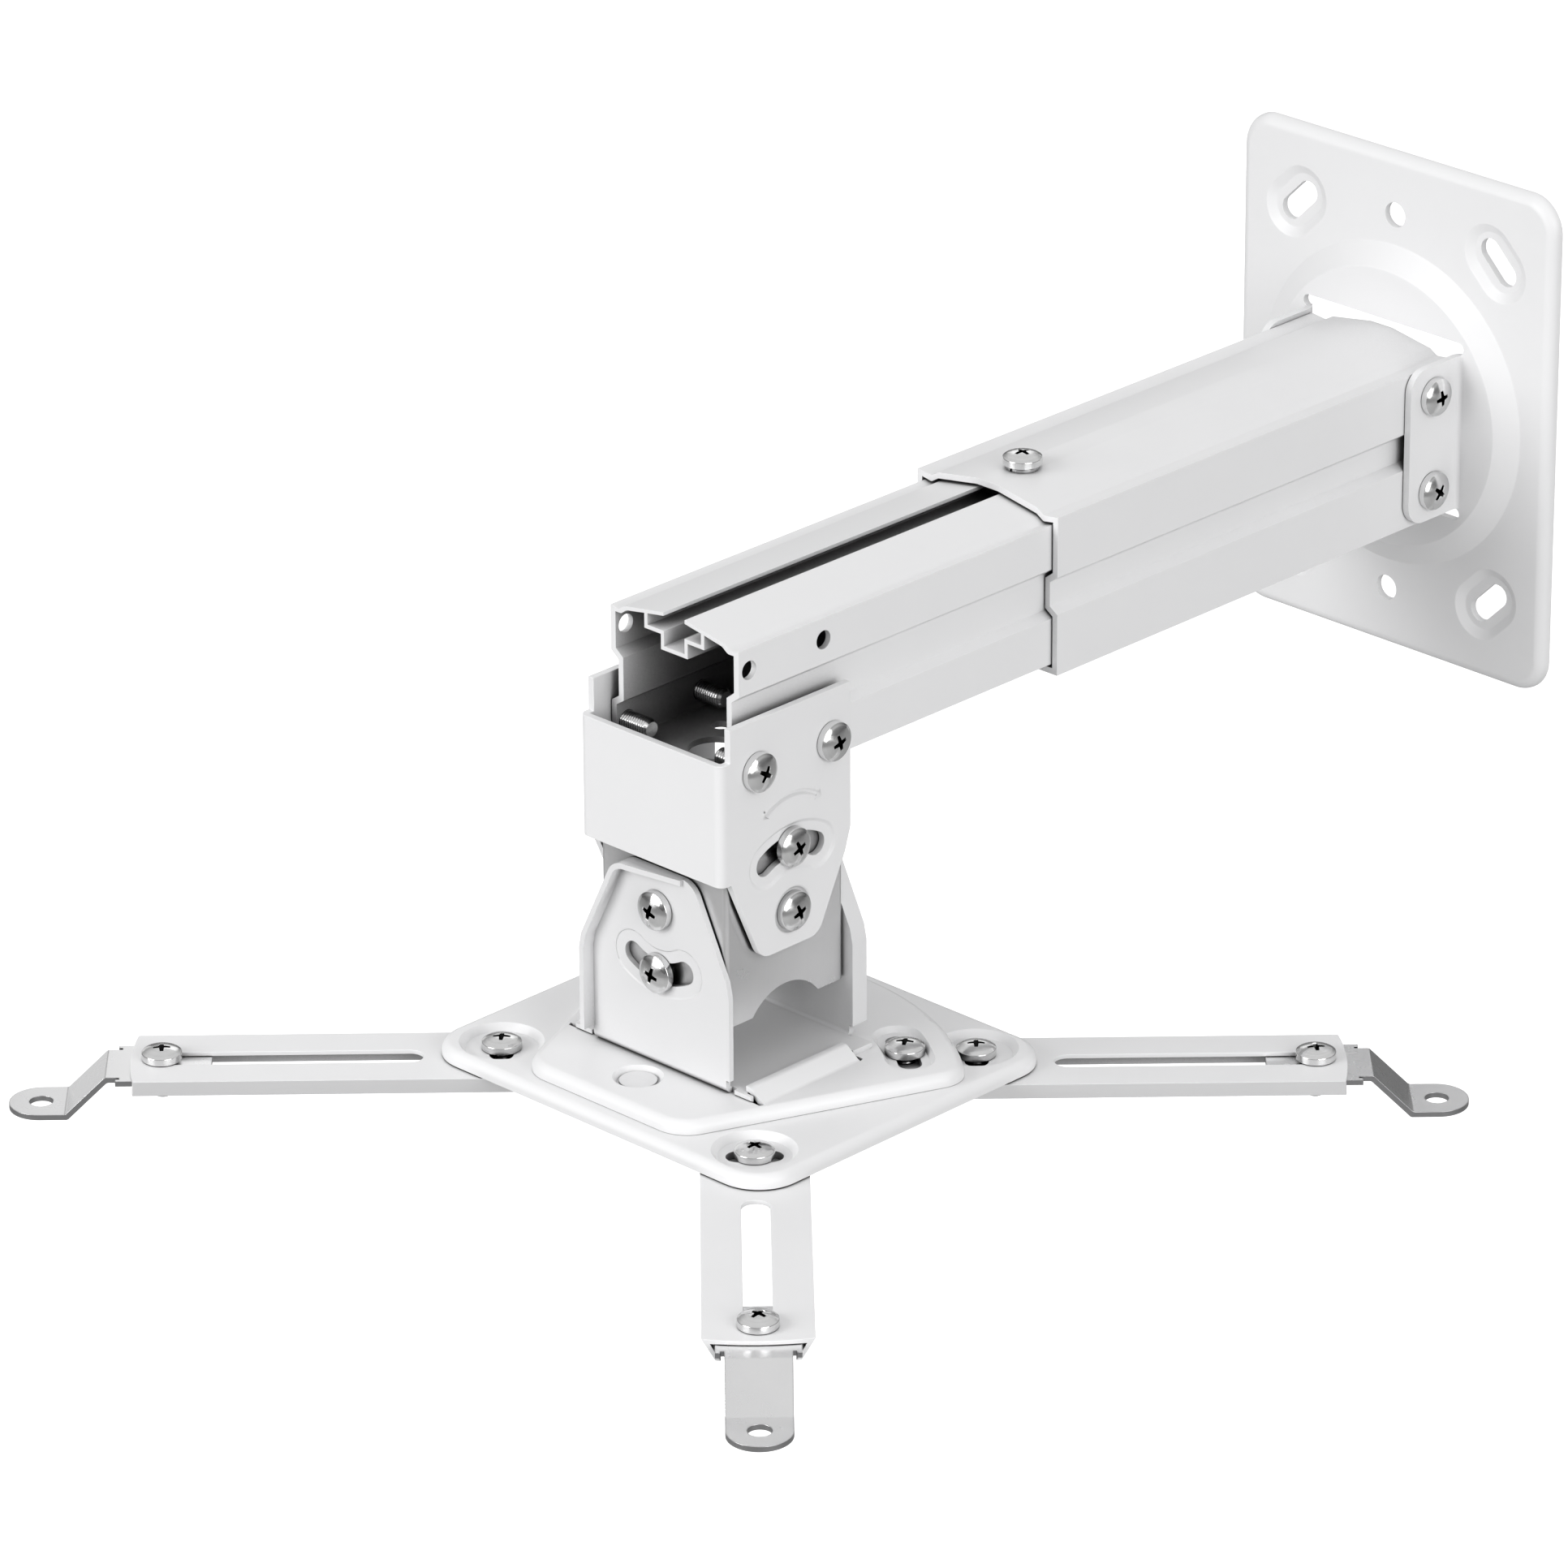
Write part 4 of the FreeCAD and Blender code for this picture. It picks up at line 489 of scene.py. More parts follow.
@dataclass(frozen=True)
class PlatedFinish:
    """Bare zinc-plated steel sheet with worn edges, or with edges darkened as painted shade.

    The edge colour is edge wear where it is light, and painted shade where it is dark, as on the stamped
    tongues.
    Where an upright colour is given, it takes over as painted shade on upright faces: lying and upright
    are how level a face is where it begins and where it is full. shade is the painted shade deep in gaps
    and hollows.
    """

    name: str
    light: tuple[float, float, float] = (0.90, 0.90, 0.90)
    dark: tuple[float, float, float] = (0.83, 0.83, 0.84)
    edge_wear_and_shade: tuple[float, float, float] = (0.93, 0.93, 0.93)
    shade: tuple[float, float, float] = (0.06, 0.06, 0.062)
    upright_shade: Optional[tuple[float, float, float]] = None
    reach: float = 16 * MM
    open: float = 0.5
    lying: float = 0.6
    upright: float = 0.3
    edge: float = 0.4 * MM
    roughness: float = 0.28
    smoother: float = 0.04
    rougher: float = 0.06
    patches: float = 70.0
    grain: float = 0.06
    relief: float = 0.01 * MM

    def build(self, effects: Effects) -> bpy.types.Material:
        """Make the material.

        Args:
            effects: The shared groups.

        Returns:
            The material.
        """
        material, sheet, shader = new_material(self.name)
        plated = sheet.effect(effects.plated, Patches=self.patches)
        edge = sheet.effect(effects.edges, Width=self.edge)
        deep = sheet.effect(effects.deep, Reach=self.reach, Open=self.open)
        tone = sheet.blend(plated["Tone"], self.dark, self.light)
        # Edges take the edge colour: edge wear where it is light, painted shade where it is dark.
        metal = sheet.blend(edge["Mask"], tone, self.edge_wear_and_shade)
        # Painted shade: upright faces, such as the cut sides of a strip, are darkened to the upright
        # colour.
        if self.upright_shade:
            normal = sheet.add("ShaderNodeNewGeometry").outputs["Normal"]
            level = sheet.math("ABSOLUTE", sheet.add("ShaderNodeSeparateXYZ", Vector=normal).outputs["Z"])
            metal = sheet.blend(sheet.span(level, self.lying, self.upright), metal, self.upright_shade)
        # Painted shade: deep in gaps and hollows the metal turns to the shade colour.
        sheet.feed(shader.inputs["Base Color"], sheet.blend(deep["Mask"], metal, self.shade))
        smooth = self.roughness - self.smoother
        rough = self.roughness + self.rougher
        sheet.feed(shader.inputs["Roughness"], sheet.ramp(plated["Roughness"], smooth, rough))
        bump = sheet.bump(self.grain, self.relief, plated["Height"])
        sheet.feed(shader.inputs["Normal"], bump.outputs[0])
        shader.inputs["Metallic"].default_value = 1.0
        return material


@dataclass(frozen=True)
class ScrewFinish:
    """Nickel-plated machine screws with faint turning marks."""

    name: str
    light: tuple[float, float, float] = (0.90, 0.90, 0.90)
    dark: tuple[float, float, float] = (0.70, 0.70, 0.70)
    shade: tuple[float, float, float] = (0.02, 0.02, 0.02)
    reach: float = 25 * MM
    open: float = 0.42
    roughness: float = 0.17
    smoother: float = 0.05
    rougher: float = 0.1
    brushing: float = 0.8
    rings: float = 5.0
    marks: float = 0.15
    relief: float = 0.01 * MM

    def build(self, effects: Effects) -> bpy.types.Material:
        """Make the material.

        Args:
            effects: The shared groups.

        Returns:
            The material.
        """
        material, sheet, shader = new_material(self.name)
        turned = sheet.effect(effects.turned, Rings=self.rings)
        deep = sheet.effect(effects.deep, Reach=self.reach, Open=self.open)
        tone = sheet.blend(turned["Tone"], self.light, self.dark)
        # Painted shade: the cross recess and places closed in by other parts turn to the shade colour.
        closed = sheet.math("MAXIMUM", turned["Recess"], deep["Mask"])
        sheet.feed(shader.inputs["Base Color"], sheet.blend(closed, tone, self.shade))
        grain = sheet.add("ShaderNodeAttribute", {"attribute_name": "grain"}).outputs["Vector"]
        options = {"vector_type": "VECTOR", "convert_from": "OBJECT", "convert_to": "WORLD"}
        outward = sheet.add("ShaderNodeVectorTransform", options, Vector=grain).outputs[0]
        sheet.feed(shader.inputs["Tangent"], outward)
        shader.inputs["Anisotropic"].default_value = self.brushing
        smooth = self.roughness - self.smoother
        rough = self.roughness + self.rougher
        sheet.feed(shader.inputs["Roughness"], sheet.ramp(turned["Tone"], smooth, rough))
        bump = sheet.bump(self.marks, self.relief, turned["Height"])
        sheet.feed(shader.inputs["Normal"], bump.outputs[0])
        shader.inputs["Metallic"].default_value = 1.0
        return material


@dataclass(frozen=True)
class Softening:
    """How far the edges of a CAD solid are rounded off. In metres and degrees."""

    rim: float = 0.16 * MM
    crease: float = 0.45 * MM
    rim_angle: float = 50.0
    crease_angle: float = 24.0
    rounds: int = 2
    fold: float = 0.0
    fold_angle: float = 75.0
    fold_length: float = 20 * MM
    fold_rounds: int = 4


def flatten(mesh: bmesh.types.BMesh) -> None:
    """Make one face of neighbours that lie in one plane.

    Args:
        mesh: The mesh to change.
    """
    bmesh.ops.dissolve_limit(mesh, angle_limit=FLAT_ANGLE, verts=mesh.verts, edges=mesh.edges)


def node_mesh(node: str) -> bmesh.types.BMesh:
    """Copy a CAD node's mesh with its flat faces made whole again.

    Args:
        node: The CAD node.

    Returns:
        The copy.
    """
    mesh = bmesh.new()
    mesh.from_mesh(frame["nodes"][node].data)
    bmesh.ops.remove_doubles(mesh, verts=mesh.verts, dist=SEAM)
    bmesh.ops.dissolve_degenerate(mesh, edges=mesh.edges, dist=WELD)
    flatten(mesh)
    return mesh


def bent_edges(mesh: bmesh.types.BMesh, low: float, high: float = math.pi) -> list[bmesh.types.BMEdge]:
    """Find the edges whose two faces meet at an angle in a range.

    Args:
        mesh: The mesh.
        low: The angle that they pass, in radians.
        high: The largest angle, in radians.

    Returns:
        The edges.
    """
    return [e for e in mesh.edges if len(e.link_faces) == 2 and low < e.calc_face_angle(0.0) <= high]


def bevel(mesh: bmesh.types.BMesh, edges: list[bmesh.types.BMEdge], width: float, rounds: int) -> None:
    """Round some edges.

    Args:
        mesh: The mesh to change.
        edges: Its edges.
        width: How far from an edge the rounding starts.
        rounds: Faces across the rounding; one makes a chamfer.
    """
    bmesh.ops.bevel(mesh, geom=edges, offset=width, offset_type="OFFSET", segments=rounds, profile=0.5,
                    affect="EDGES", clamp_overlap=True)


def soften(mesh: bmesh.types.BMesh, softening: Softening) -> None:
    """Round the long folds, where asked for, then the creases and then the rims of a sheet.

    Args:
        mesh: The mesh to change.
        softening: Widths and angles.
    """
    rim = math.radians(softening.rim_angle)
    crease = math.radians(softening.crease_angle)
    if softening.fold:
        bent = bent_edges(mesh, crease, math.radians(softening.fold_angle))
        folds = [edge for edge in bent if edge.calc_length() > softening.fold_length]
        bevel(mesh, folds, softening.fold, softening.fold_rounds)
    for low, high, width in ((crease, rim, softening.crease), (rim, math.pi, softening.rim)):
        bevel(mesh, bent_edges(mesh, low, high), width, softening.rounds)
        bmesh.ops.remove_doubles(mesh, verts=mesh.verts, dist=WELD)


def add_piece(name: str, mesh: bmesh.types.BMesh, node: str, material: bpy.types.Material,
              sharp_angle: float = 40.0) -> None:
    """Turn a mesh into a piece that stands for a CAD node.

    Args:
        name: The piece's name.
        mesh: Its mesh, which is freed.
        node: The CAD node that it replaces.
        material: Its finish.
        sharp_angle: Edges above this angle, in degrees, stay sharp in shading.
    """
    bmesh.ops.recalc_face_normals(mesh, faces=mesh.faces)
    for face in mesh.faces:
        face.smooth = True
    data = bpy.data.meshes.new(name)
    mesh.to_mesh(data)
    mesh.free()
    data.set_sharp_from_angle(angle=math.radians(sharp_angle))
    piece = bpy.data.objects.new(name, data)
    bpy.context.scene.collection.objects.link(piece)
    weighted = piece.modifiers.new("even_flats", "WEIGHTED_NORMAL")
    weighted.keep_sharp = True
    weighted.weight = FLAT_WEIGHT
    data.materials.append(material)
    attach(piece, body_of[node])
    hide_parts(node)
    log.info("%s: %d faces on %s", name, len(data.polygons), body_of[node])


def softened(node: str, suffix: str, material: bpy.types.Material,
             softening: Softening = Softening()) -> None:
    """Rebuild one CAD node with rounded edges and a finish.

    Args:
        node: The CAD node.
        suffix: What the new piece's name adds to the node's.
        material: Its finish.
        softening: Widths and angles of the rounding.
    """
    mesh = node_mesh(node)
    soften(mesh, softening)
    add_piece(f"{node}_{suffix}", mesh, node, material)


def islands(node: str) -> list[np.ndarray]:
    """Corner points of each separate solid of a CAD node.

    Args:
        node: The CAD node.

    Returns:
        One array of points for each solid, in order of their places.
    """
    mesh = node_mesh(node)
    left = set(mesh.verts)
    found = []
    while left:
        reached = {left.pop()}
        front = set(reached)
        while front:
            front = {e.other_vert(v) for v in front for e in v.link_edges} - reached
            reached |= front
        left -= reached
        found.append(np.array([v.co[:] for v in reached]))
    mesh.free()
    return sorted(found, key=lambda points: tuple(np.round(points.mean(axis=0), 4)))


@dataclass
class Solid:
    """Plain mesh data in millimetres, before it is placed."""

    points: np.ndarray
    faces: list[tuple[int, ...]]


def lathe(profile: Sequence[tuple[float, float]], segments: int) -> Solid:
    """Turn a profile around z.

    Args:
        profile: Radius and height of each point; the first and the last lie on the axis.
        segments: Steps around.

    Returns:
        The closed solid.
    """
    rings = profile[1:-1]
    turn = 2 * math.pi / segments
    points = [(0.0, 0.0, profile[0][1])]
    for radius, height in rings:
        for step in range(segments):
            points.append((radius * math.cos(step * turn), radius * math.sin(step * turn), height))
    points.append((0.0, 0.0, profile[-1][1]))
    faces: list[tuple[int, ...]] = []
    for step in range(segments):
        after = (step + 1) % segments
        faces.append((0, 1 + step, 1 + after))
        for ring in range(len(rings) - 1):
            low = 1 + ring * segments
            high = low + segments
            faces.append((low + step, high + step, high + after, low + after))
        top = 1 + (len(rings) - 1) * segments
        faces.append((len(points) - 1, top + after, top + step))
    return Solid(np.array(points), faces)


def loft(lower: Sequence[tuple[float, float]], upper: Sequence[tuple[float, float]],
         low: float, high: float) -> Solid:
    """Join two outlines of equal count.

    Args:
        lower: Points of the lower outline.
        upper: Points of the upper outline.
        low: Height of the lower outline.
        high: Height of the upper outline.

    Returns:
        The closed solid.
    """
    count = len(lower)
    points = [(x, y, low) for x, y in lower] + [(x, y, high) for x, y in upper]
    faces = [(i, (i + 1) % count, count + (i + 1) % count, count + i) for i in range(count)]
    faces.append(tuple(range(count - 1, -1, -1)))
    faces.append(tuple(range(count, 2 * count)))
    return Solid(np.array(points), faces)


def solid_object(solid: Solid, name: str) -> bpy.types.Object:
    """Make a loose object from a solid, as it is.

    Args:
        solid: The mesh data.
        name: The object's name.

    Returns:
        The object.
    """
    data = bpy.data.meshes.new(name)
    data.from_pydata(solid.points.tolist(), [], solid.faces)
    item = bpy.data.objects.new(name, data)
    bpy.context.scene.collection.objects.link(item)
    return item


def carve(body: bpy.types.Object, cutter: bpy.types.Object,
          operation: str = "DIFFERENCE") -> bpy.types.Mesh:
    """Subtract one object from another, or join them, and delete both.

    Args:
        body: What is carved.
        cutter: What is taken away, or added.
        operation: Blender's name of the operation.

    Returns:
        The new mesh.
    """
    modifier = body.modifiers.new("carve", "BOOLEAN")
    modifier.operation = operation
    modifier.solver = "EXACT"
    modifier.object = cutter
    bpy.context.view_layer.update()
    result = bpy.data.meshes.new_from_object(body.evaluated_get(bpy.context.evaluated_depsgraph_get()))
    for item in (body, cutter):
        data = item.data
        bpy.data.objects.remove(item)
        bpy.data.meshes.remove(data)
    return result


def carve_mesh(mesh: bmesh.types.BMesh, cutter: bpy.types.Object, operation: str = "DIFFERENCE") -> None:
    """Carve a mesh in place.

    Args:
        mesh: The mesh to change.
        cutter: What is taken away, or added.
        operation: Blender's name of the operation.
    """
    data = bpy.data.meshes.new("blank")
    mesh.to_mesh(data)
    blank = bpy.data.objects.new("blank", data)
    bpy.context.scene.collection.objects.link(blank)
    carved = carve(blank, cutter, operation)
    mesh.clear()
    mesh.from_mesh(carved)
    bpy.data.meshes.remove(carved)


@dataclass
class PanScrews:
    """Every pan head screw: a domed head with a cross recess, and a real thread.

    Lengths are millimetres and angles are degrees. crown_start counts widths of the edge, and the floor
    sizes are shares of the recess's sizes at the dome.
    """

    radius: float = 5.2
    side: float = 2.1
    dome: float = 1.3
    edge: float = 0.28
    edge_steps: int = 4
    seat_edge: float = 0.3
    seat_rise: float = 0.7
    crown_start: float = 2.2
    crown_rings: int = 9
    segments: int = 72
    seam: float = 0.002
    sharp_angle: float = 35.0
    turn_each: float = 47.0
    recess_reach: float = 2.35
    recess_width: float = 0.46
    recess_throat: float = 0.64
    recess_depth: float = 2.5
    recess_margin: float = 1.1
    floor_reach: float = 0.5
    floor_width: float = 0.6
    floor_throat: float = 0.55
    brink: float = 0.13
    brink_angle: float = 40.0
    brink_above: float = 0.4
    shank: float = 2.75
    pitch: float = 0.8
    thread_depth: float = 0.22
    thread_segments: int = 28
    crest_round: float = 0.06
    root_round: float = 0.05
    tip_taper: float = 0.5
    tip_slope: float = 0.9
    under_head: float = 0.2
    groups: dict[str, Way] = field(default_factory=lambda: {
        "wall_tab_screws": Way.SIDES,
        "bracket_tube_screws": Way.SIDES,
        "tilt_pivot_screws": Way.SIDES,
        "tilt_lock_screws": Way.SIDES,
        "roll_pivot_screws": Way.ENDS,
        "roll_lock_screws": Way.ENDS,
        "yaw_lock_screws": Way.UP,
        "clamp_screw": Way.UP,
        **{f"corner_screw_{corner}": Way.UP for corner in CORNERS},
        **{f"tongue_screw_{corner}": Way.UP for corner in CORNERS},
    })

    @property
    def height(self) -> float:
        """Height of the whole head."""
        return self.side + self.dome

    def dome_height(self, reach: float) -> float:
        """Height of the dome at a distance from the axis."""
        ball = (self.radius ** 2 + self.dome ** 2) / (2 * self.dome)
        return self.height - ball + math.sqrt(ball ** 2 - reach ** 2)

    def recess_at(self, x: float, y: float, z: float) -> float:
        """How deep a point of the recess lies below the dome, or 0 for any other point.

        Args:
            x: Across the screw.
            y: Across the screw.
            z: Height above the seat.

        Returns:
            The depth.
        """
        reach = math.hypot(x, y)
        deepest = self.height - self.recess_depth - self.edge
        inside = reach < self.recess_reach * self.recess_margin and z > deepest
        return max(0.0, self.dome_height(reach) - z) if inside else 0.0

    def cross(self, reach: float, width: float, throat: float) -> list[tuple[float, float]]:
        """Outline of the cross recess at one depth.

        Args:
            reach: From the axis to a wing's end.
            width: Half width of a wing's end.
            throat: Distance of the inner corners from both centre lines.

        Returns:
            Twelve points.
        """
        outline = []
        for quarter in range(4):
            turn = Matrix.Rotation(quarter * math.pi / 2, 2)
            for x, y in ((reach, -width), (reach, width), (throat, throat)):
                spot = turn @ Vector((x, y))
                outline.append((spot.x, spot.y))
        return outline

    def recess_tool(self) -> bpy.types.Object:
        """The tapered body that the recess takes away, which stands out above the dome.

        Returns:
            A loose object, in millimetres.
        """
        overshoot = 0.5
        grow = 1 + overshoot / self.recess_depth * (1 - self.floor_reach)
        lower = self.cross(self.recess_reach * self.floor_reach, self.recess_width * self.floor_width,
                           self.recess_throat * self.floor_throat)
        upper = self.cross(self.recess_reach * grow, self.recess_width * grow, self.recess_throat * grow)
        floor = self.height - self.recess_depth
        return solid_object(loft(lower, upper, floor, self.height + overshoot), "recess")

    def head(self) -> Solid:
        """The head with its recess and its softened edges.

        Returns:
            The closed solid, with its seat at z = 0.
        """
        rim = [(self.radius - self.seat_edge, 0.0), (self.radius, self.seat_rise * self.seat_edge)]
        quarter_turn = 90.0
        for step in range(self.edge_steps):
            angle = math.radians(quarter_turn / (self.edge_steps - 1) * step)
            inward = self.edge * (1 - math.cos(angle))
            rim.append((self.radius - inward, self.side - self.edge * (1 - math.sin(angle))))
        reaches = np.linspace(self.radius - self.crown_start * self.edge, 0.0, self.crown_rings)
        crown = [(float(reach), self.dome_height(float(reach))) for reach in reaches]
        body = solid_object(lathe([(0.0, 0.0), *rim, *crown], self.segments), "head")
        carved = carve(body, self.recess_tool())
        mesh = bmesh.new()
        mesh.from_mesh(carved)
        bpy.data.meshes.remove(carved)
        bmesh.ops.remove_doubles(mesh, verts=mesh.verts, dist=self.seam)
        lowest = self.side + self.brink_above
        bent = bent_edges(mesh, math.radians(self.brink_angle))
        bevel(mesh, [e for e in bent if min(v.co.z for v in e.verts) > lowest], self.brink, 1)
        points = np.array([v.co[:] for v in mesh.verts])
        faces = [tuple(v.index for v in face.verts) for face in mesh.faces]
        mesh.free()
        return Solid(points, faces)

    def thread(self, length: float) -> Solid:
        """A threaded shank below the head.

        Args:
            length: From the seat to the tip.

        Returns:
            The closed solid.
        """
        around = self.thread_segments
        crest = self.shank
        root = self.shank - self.thread_depth
        core = root - self.tip_taper
        shape = (root, crest - self.crest_round, crest, root + self.root_round)
        per = len(shape)
        step = self.pitch / per
        rows = int(length / step) + 2 * per
        points = []
        for row in range(rows + 1):
            for column in range(around):
                height = -length + (row - per + per * column / around) * step
                held = min(max(height, -length), self.under_head)
                taper = max(core + (held + length) * self.tip_slope, core)
                radius = min(shape[row % per], taper) if height == held else core
                angle = 2 * math.pi * column / around
                points.append((radius * math.cos(angle), radius * math.sin(angle), held))
        faces: list[tuple[int, ...]] = []
        for row in range(rows):
            for column in range(around):
                wrap = column + 1 == around
                here = row * around + column
                side_row = row + per if wrap else row
                beside = side_row * around + (0 if wrap else column + 1)
                if side_row + 1 <= rows:
                    faces.append((here, beside, beside + around, here + around))
        return Solid(np.array(points), faces)

    def place(self, points: np.ndarray, way: Way) -> tuple[Matrix, float]:
        """Read one screw's seat, direction and length from its solid.

        Args:
            points: Corner points of the solid, in metres.
            way: Which way the heads of its group look.

        Returns:
            The matrix that puts the head there, in metres, and the shank's length in millimetres.
        """
        low = points.min(axis=0)
        high = points.max(axis=0)
        middle = (low + high) / 2
        if way is Way.SIDES:
            out = Vector((math.copysign(1.0, middle[0]), 0.0, 0.0))
        elif way is Way.ENDS:
            box_low, box_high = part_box("middle_box")
            out = Vector((0.0, math.copysign(1.0, middle[1] - (box_low.y + box_high.y) / 2), 0.0))
        else:
            out = Vector((0.0, 0.0, 1.0))
        axis = int(np.argmax(np.abs(np.array(out))))
        reach = points @ np.array(out)
        seat = middle.copy()
        seat[axis] = (reach.max() - self.height * MM) * out[axis]
        length = (reach.max() - reach.min()) / MM - self.height
        turn = out.to_track_quat("Z", "Y").to_matrix().to_4x4()
        return Matrix.Translation(Vector(seat)) @ turn, length

    def build(self, material: bpy.types.Material) -> None:
        """Make one piece for each group of screws.

        Args:
            material: The screws' finish.
        """
        head = self.head()
        turns = 0
        for node, way in self.groups.items():
            mesh = bmesh.new()
            lathe_place = mesh.verts.layers.float_vector.new("lathe")
            grain = mesh.verts.layers.float_vector.new("grain")
            for points in islands(node):
                matrix, length = self.place(points, way)
                turns += 1
                twist = Matrix.Rotation(math.radians(self.turn_each * turns), 4, "Z")
                for solid in (head, self.thread(length)):
                    verts = []
                    for x, y, z in solid.points:
                        spot = mesh.verts.new(matrix @ twist @ (Vector((x, y, z)) * MM))
                        spot[lathe_place] = (math.hypot(x, y), self.recess_at(x, y, z), float(turns))
                        spot[grain] = (matrix @ twist).to_3x3() @ Vector((x, y, 0.0)).normalized()
                        verts.append(spot)
                    for face in solid.faces:
                        corners = [verts[i] for i in face]
                        if len(set(corners)) > 2:
                            mesh.faces.new(corners)
            bmesh.ops.remove_doubles(mesh, verts=mesh.verts, dist=WELD)
            bmesh.ops.holes_fill(mesh, edges=[e for e in mesh.edges if e.is_boundary], sides=0)
            add_piece(f"{node}_turned", mesh, node, material, self.sharp_angle)


@dataclass
class WallMount:
    """The pressed wall plate, the outer tube, and the clamp's washer and nut."""

    coat: bpy.types.Material
    extruded: bpy.types.Material
    zinc: bpy.types.Material

    def build(self) -> None:
        """Rebuild its four nodes with softened edges."""
        tube = Softening(rim=0.18 * MM, crease=0.4 * MM)
        softened("wall_plate", "pressed", self.coat, Softening(crease=1.2 * MM))
        softened("outer_tube", "extruded", self.extruded, tube)
        softened("clamp_washer", "sprung", self.zinc, Softening(rim=0.12 * MM))
        softened("channel_nut", "sawn", self.zinc)


@dataclass
class TiltArrow:
    """The double-headed arc arrow that is pressed into the outer face of one cheek. In millimetres."""

    middle_y: float = -261.1
    middle_z: float = -40.3
    band_outer: float = 16.6
    band_inner: float = 15.0
    band_half_angle: float = 35.0
    wing_outer: float = 17.7
    wing_inner: float = 14.1
    tip_radius: float = 16.0
    tip_angle: float = 41.3
    depth: float = 0.85
    slope: float = 0.45
    steps: int = 24

    def spot(self, radius: float, degrees: float) -> tuple[float, float]:
        """A point at an angle from straight up, towards the tube's wall end."""
        angle = math.radians(degrees)
        return self.middle_y + radius * math.sin(angle), self.middle_z + radius * math.cos(angle)

    def outline(self, inset: float) -> list[tuple[float, float]]:
        """The arrow's outline.

        Args:
            inset: How far the outline lies inside the arrow's own edge.

        Returns:
            Points in y and z, once round against the clock as seen from +x.
        """
        half = self.band_half_angle
        turns = np.linspace(-half, half, self.steps)
        lower = [self.spot(self.band_inner + inset, turn) for turn in turns]
        upper = [self.spot(self.band_outer - inset, turn) for turn in turns[::-1]]
        back = half + math.degrees(inset / self.tip_radius)
        tip = self.tip_angle - math.degrees(2 * inset / self.tip_radius)
        first, second = ([self.spot(self.wing_inner + 2 * inset, side * back),
                          self.spot(self.tip_radius, side * tip),
                          self.spot(self.wing_outer - 2 * inset, side * back)] for side in (1, -1))
        return lower + first + upper + second[::-1]

    def cutter(self, face_x: float) -> bpy.types.Object:
        """The body that is taken away.

        Args:
            face_x: Place of the cheek's outer face, in metres.

        Returns:
            A loose object, in metres.
        """
        above = 0.4
        wide = self.outline(-above * self.slope / self.depth)
        solid = loft(self.outline(self.slope), wide, face_x / MM - self.depth, face_x / MM + above)
        solid.points = solid.points[:, [2, 0, 1]] * MM
        return solid_object(solid, "arrow_tool")


@dataclass
class ChannelPatch:
    """Wall that closes the nut channel where two side holes run through its keel. In millimetres."""

    inner_half: float = 3.6
    wall: float = 1.1
    floor: float = 12.2
    top: float = 15.6
    half_length: float = 3.2
    places: tuple[float, ...] = (-273.5, -247.0)

    def outline(self) -> list[tuple[float, float]]:
        """The U-shaped section.

        Returns:
            Points in z and x, once round against the clock as seen from +y.
        """
        outer = self.inner_half + self.wall
        low = self.floor - self.wall
        half = self.inner_half
        return [(self.top, -outer), (self.top, -half), (self.floor, -half), (self.floor, half),
                (self.top, half), (self.top, outer), (low, outer), (low, -outer)]

    def solids(self) -> list[bpy.types.Object]:
        """The short lengths of keel, one at each place.

        Returns:
            Loose objects, in metres.
        """
        flat = self.outline()
        found = []
        for place in self.places:
            solid = loft(flat, flat, place - self.half_length, place + self.half_length)
            solid.points = solid.points[:, [1, 2, 0]] * MM
            found.append(solid_object(solid, "keel_length"))
        return found


@dataclass
class Extension:
    """The inner tube with the upper bracket on its end."""

    coat: bpy.types.Material
    extruded: bpy.types.Material
    arrow: TiltArrow = field(default_factory=TiltArrow)
    patch: ChannelPatch = field(default_factory=ChannelPatch)

    def build(self) -> None:
        """Rebuild its two nodes, close the keel and press the arrow into the bracket."""
        tube = node_mesh("inner_tube")
        for length in self.patch.solids():
            carve_mesh(tube, length, "UNION")
        flatten(tube)
        soften(tube, Softening(rim=0.14 * MM, crease=0.4 * MM))
        add_piece("inner_tube_extruded", tube, "inner_tube", self.extruded)
        bracket = node_mesh("upper_bracket")
        soften(bracket, Softening(crease=0.9 * MM))
        carve_mesh(bracket, self.arrow.cutter(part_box("upper_bracket")[1].x))
        add_piece("upper_bracket_folded", bracket, "upper_bracket", self.coat)


@dataclass
class Head:
    """The unpainted middle box, the yoke and the adapter plate below it."""

    coat: bpy.types.Material
    # The white coat darkened as painted shade.
    yoke_shaded_coat: bpy.types.Material
    zinc: bpy.types.Material

    def build(self) -> None:
        """Rebuild its four nodes with softened edges."""
        pressed = Softening(crease=0.3 * MM, fold=0.9 * MM)
        softened("middle_box", "folded", self.zinc, Softening(rim=0.15 * MM))
        softened("lower_bracket", "folded", self.yoke_shaded_coat, Softening(crease=0.9 * MM))
        softened("adapter_plate", "pressed", self.coat, pressed)
        softened("adapter_rivet", "headed", self.yoke_shaded_coat)


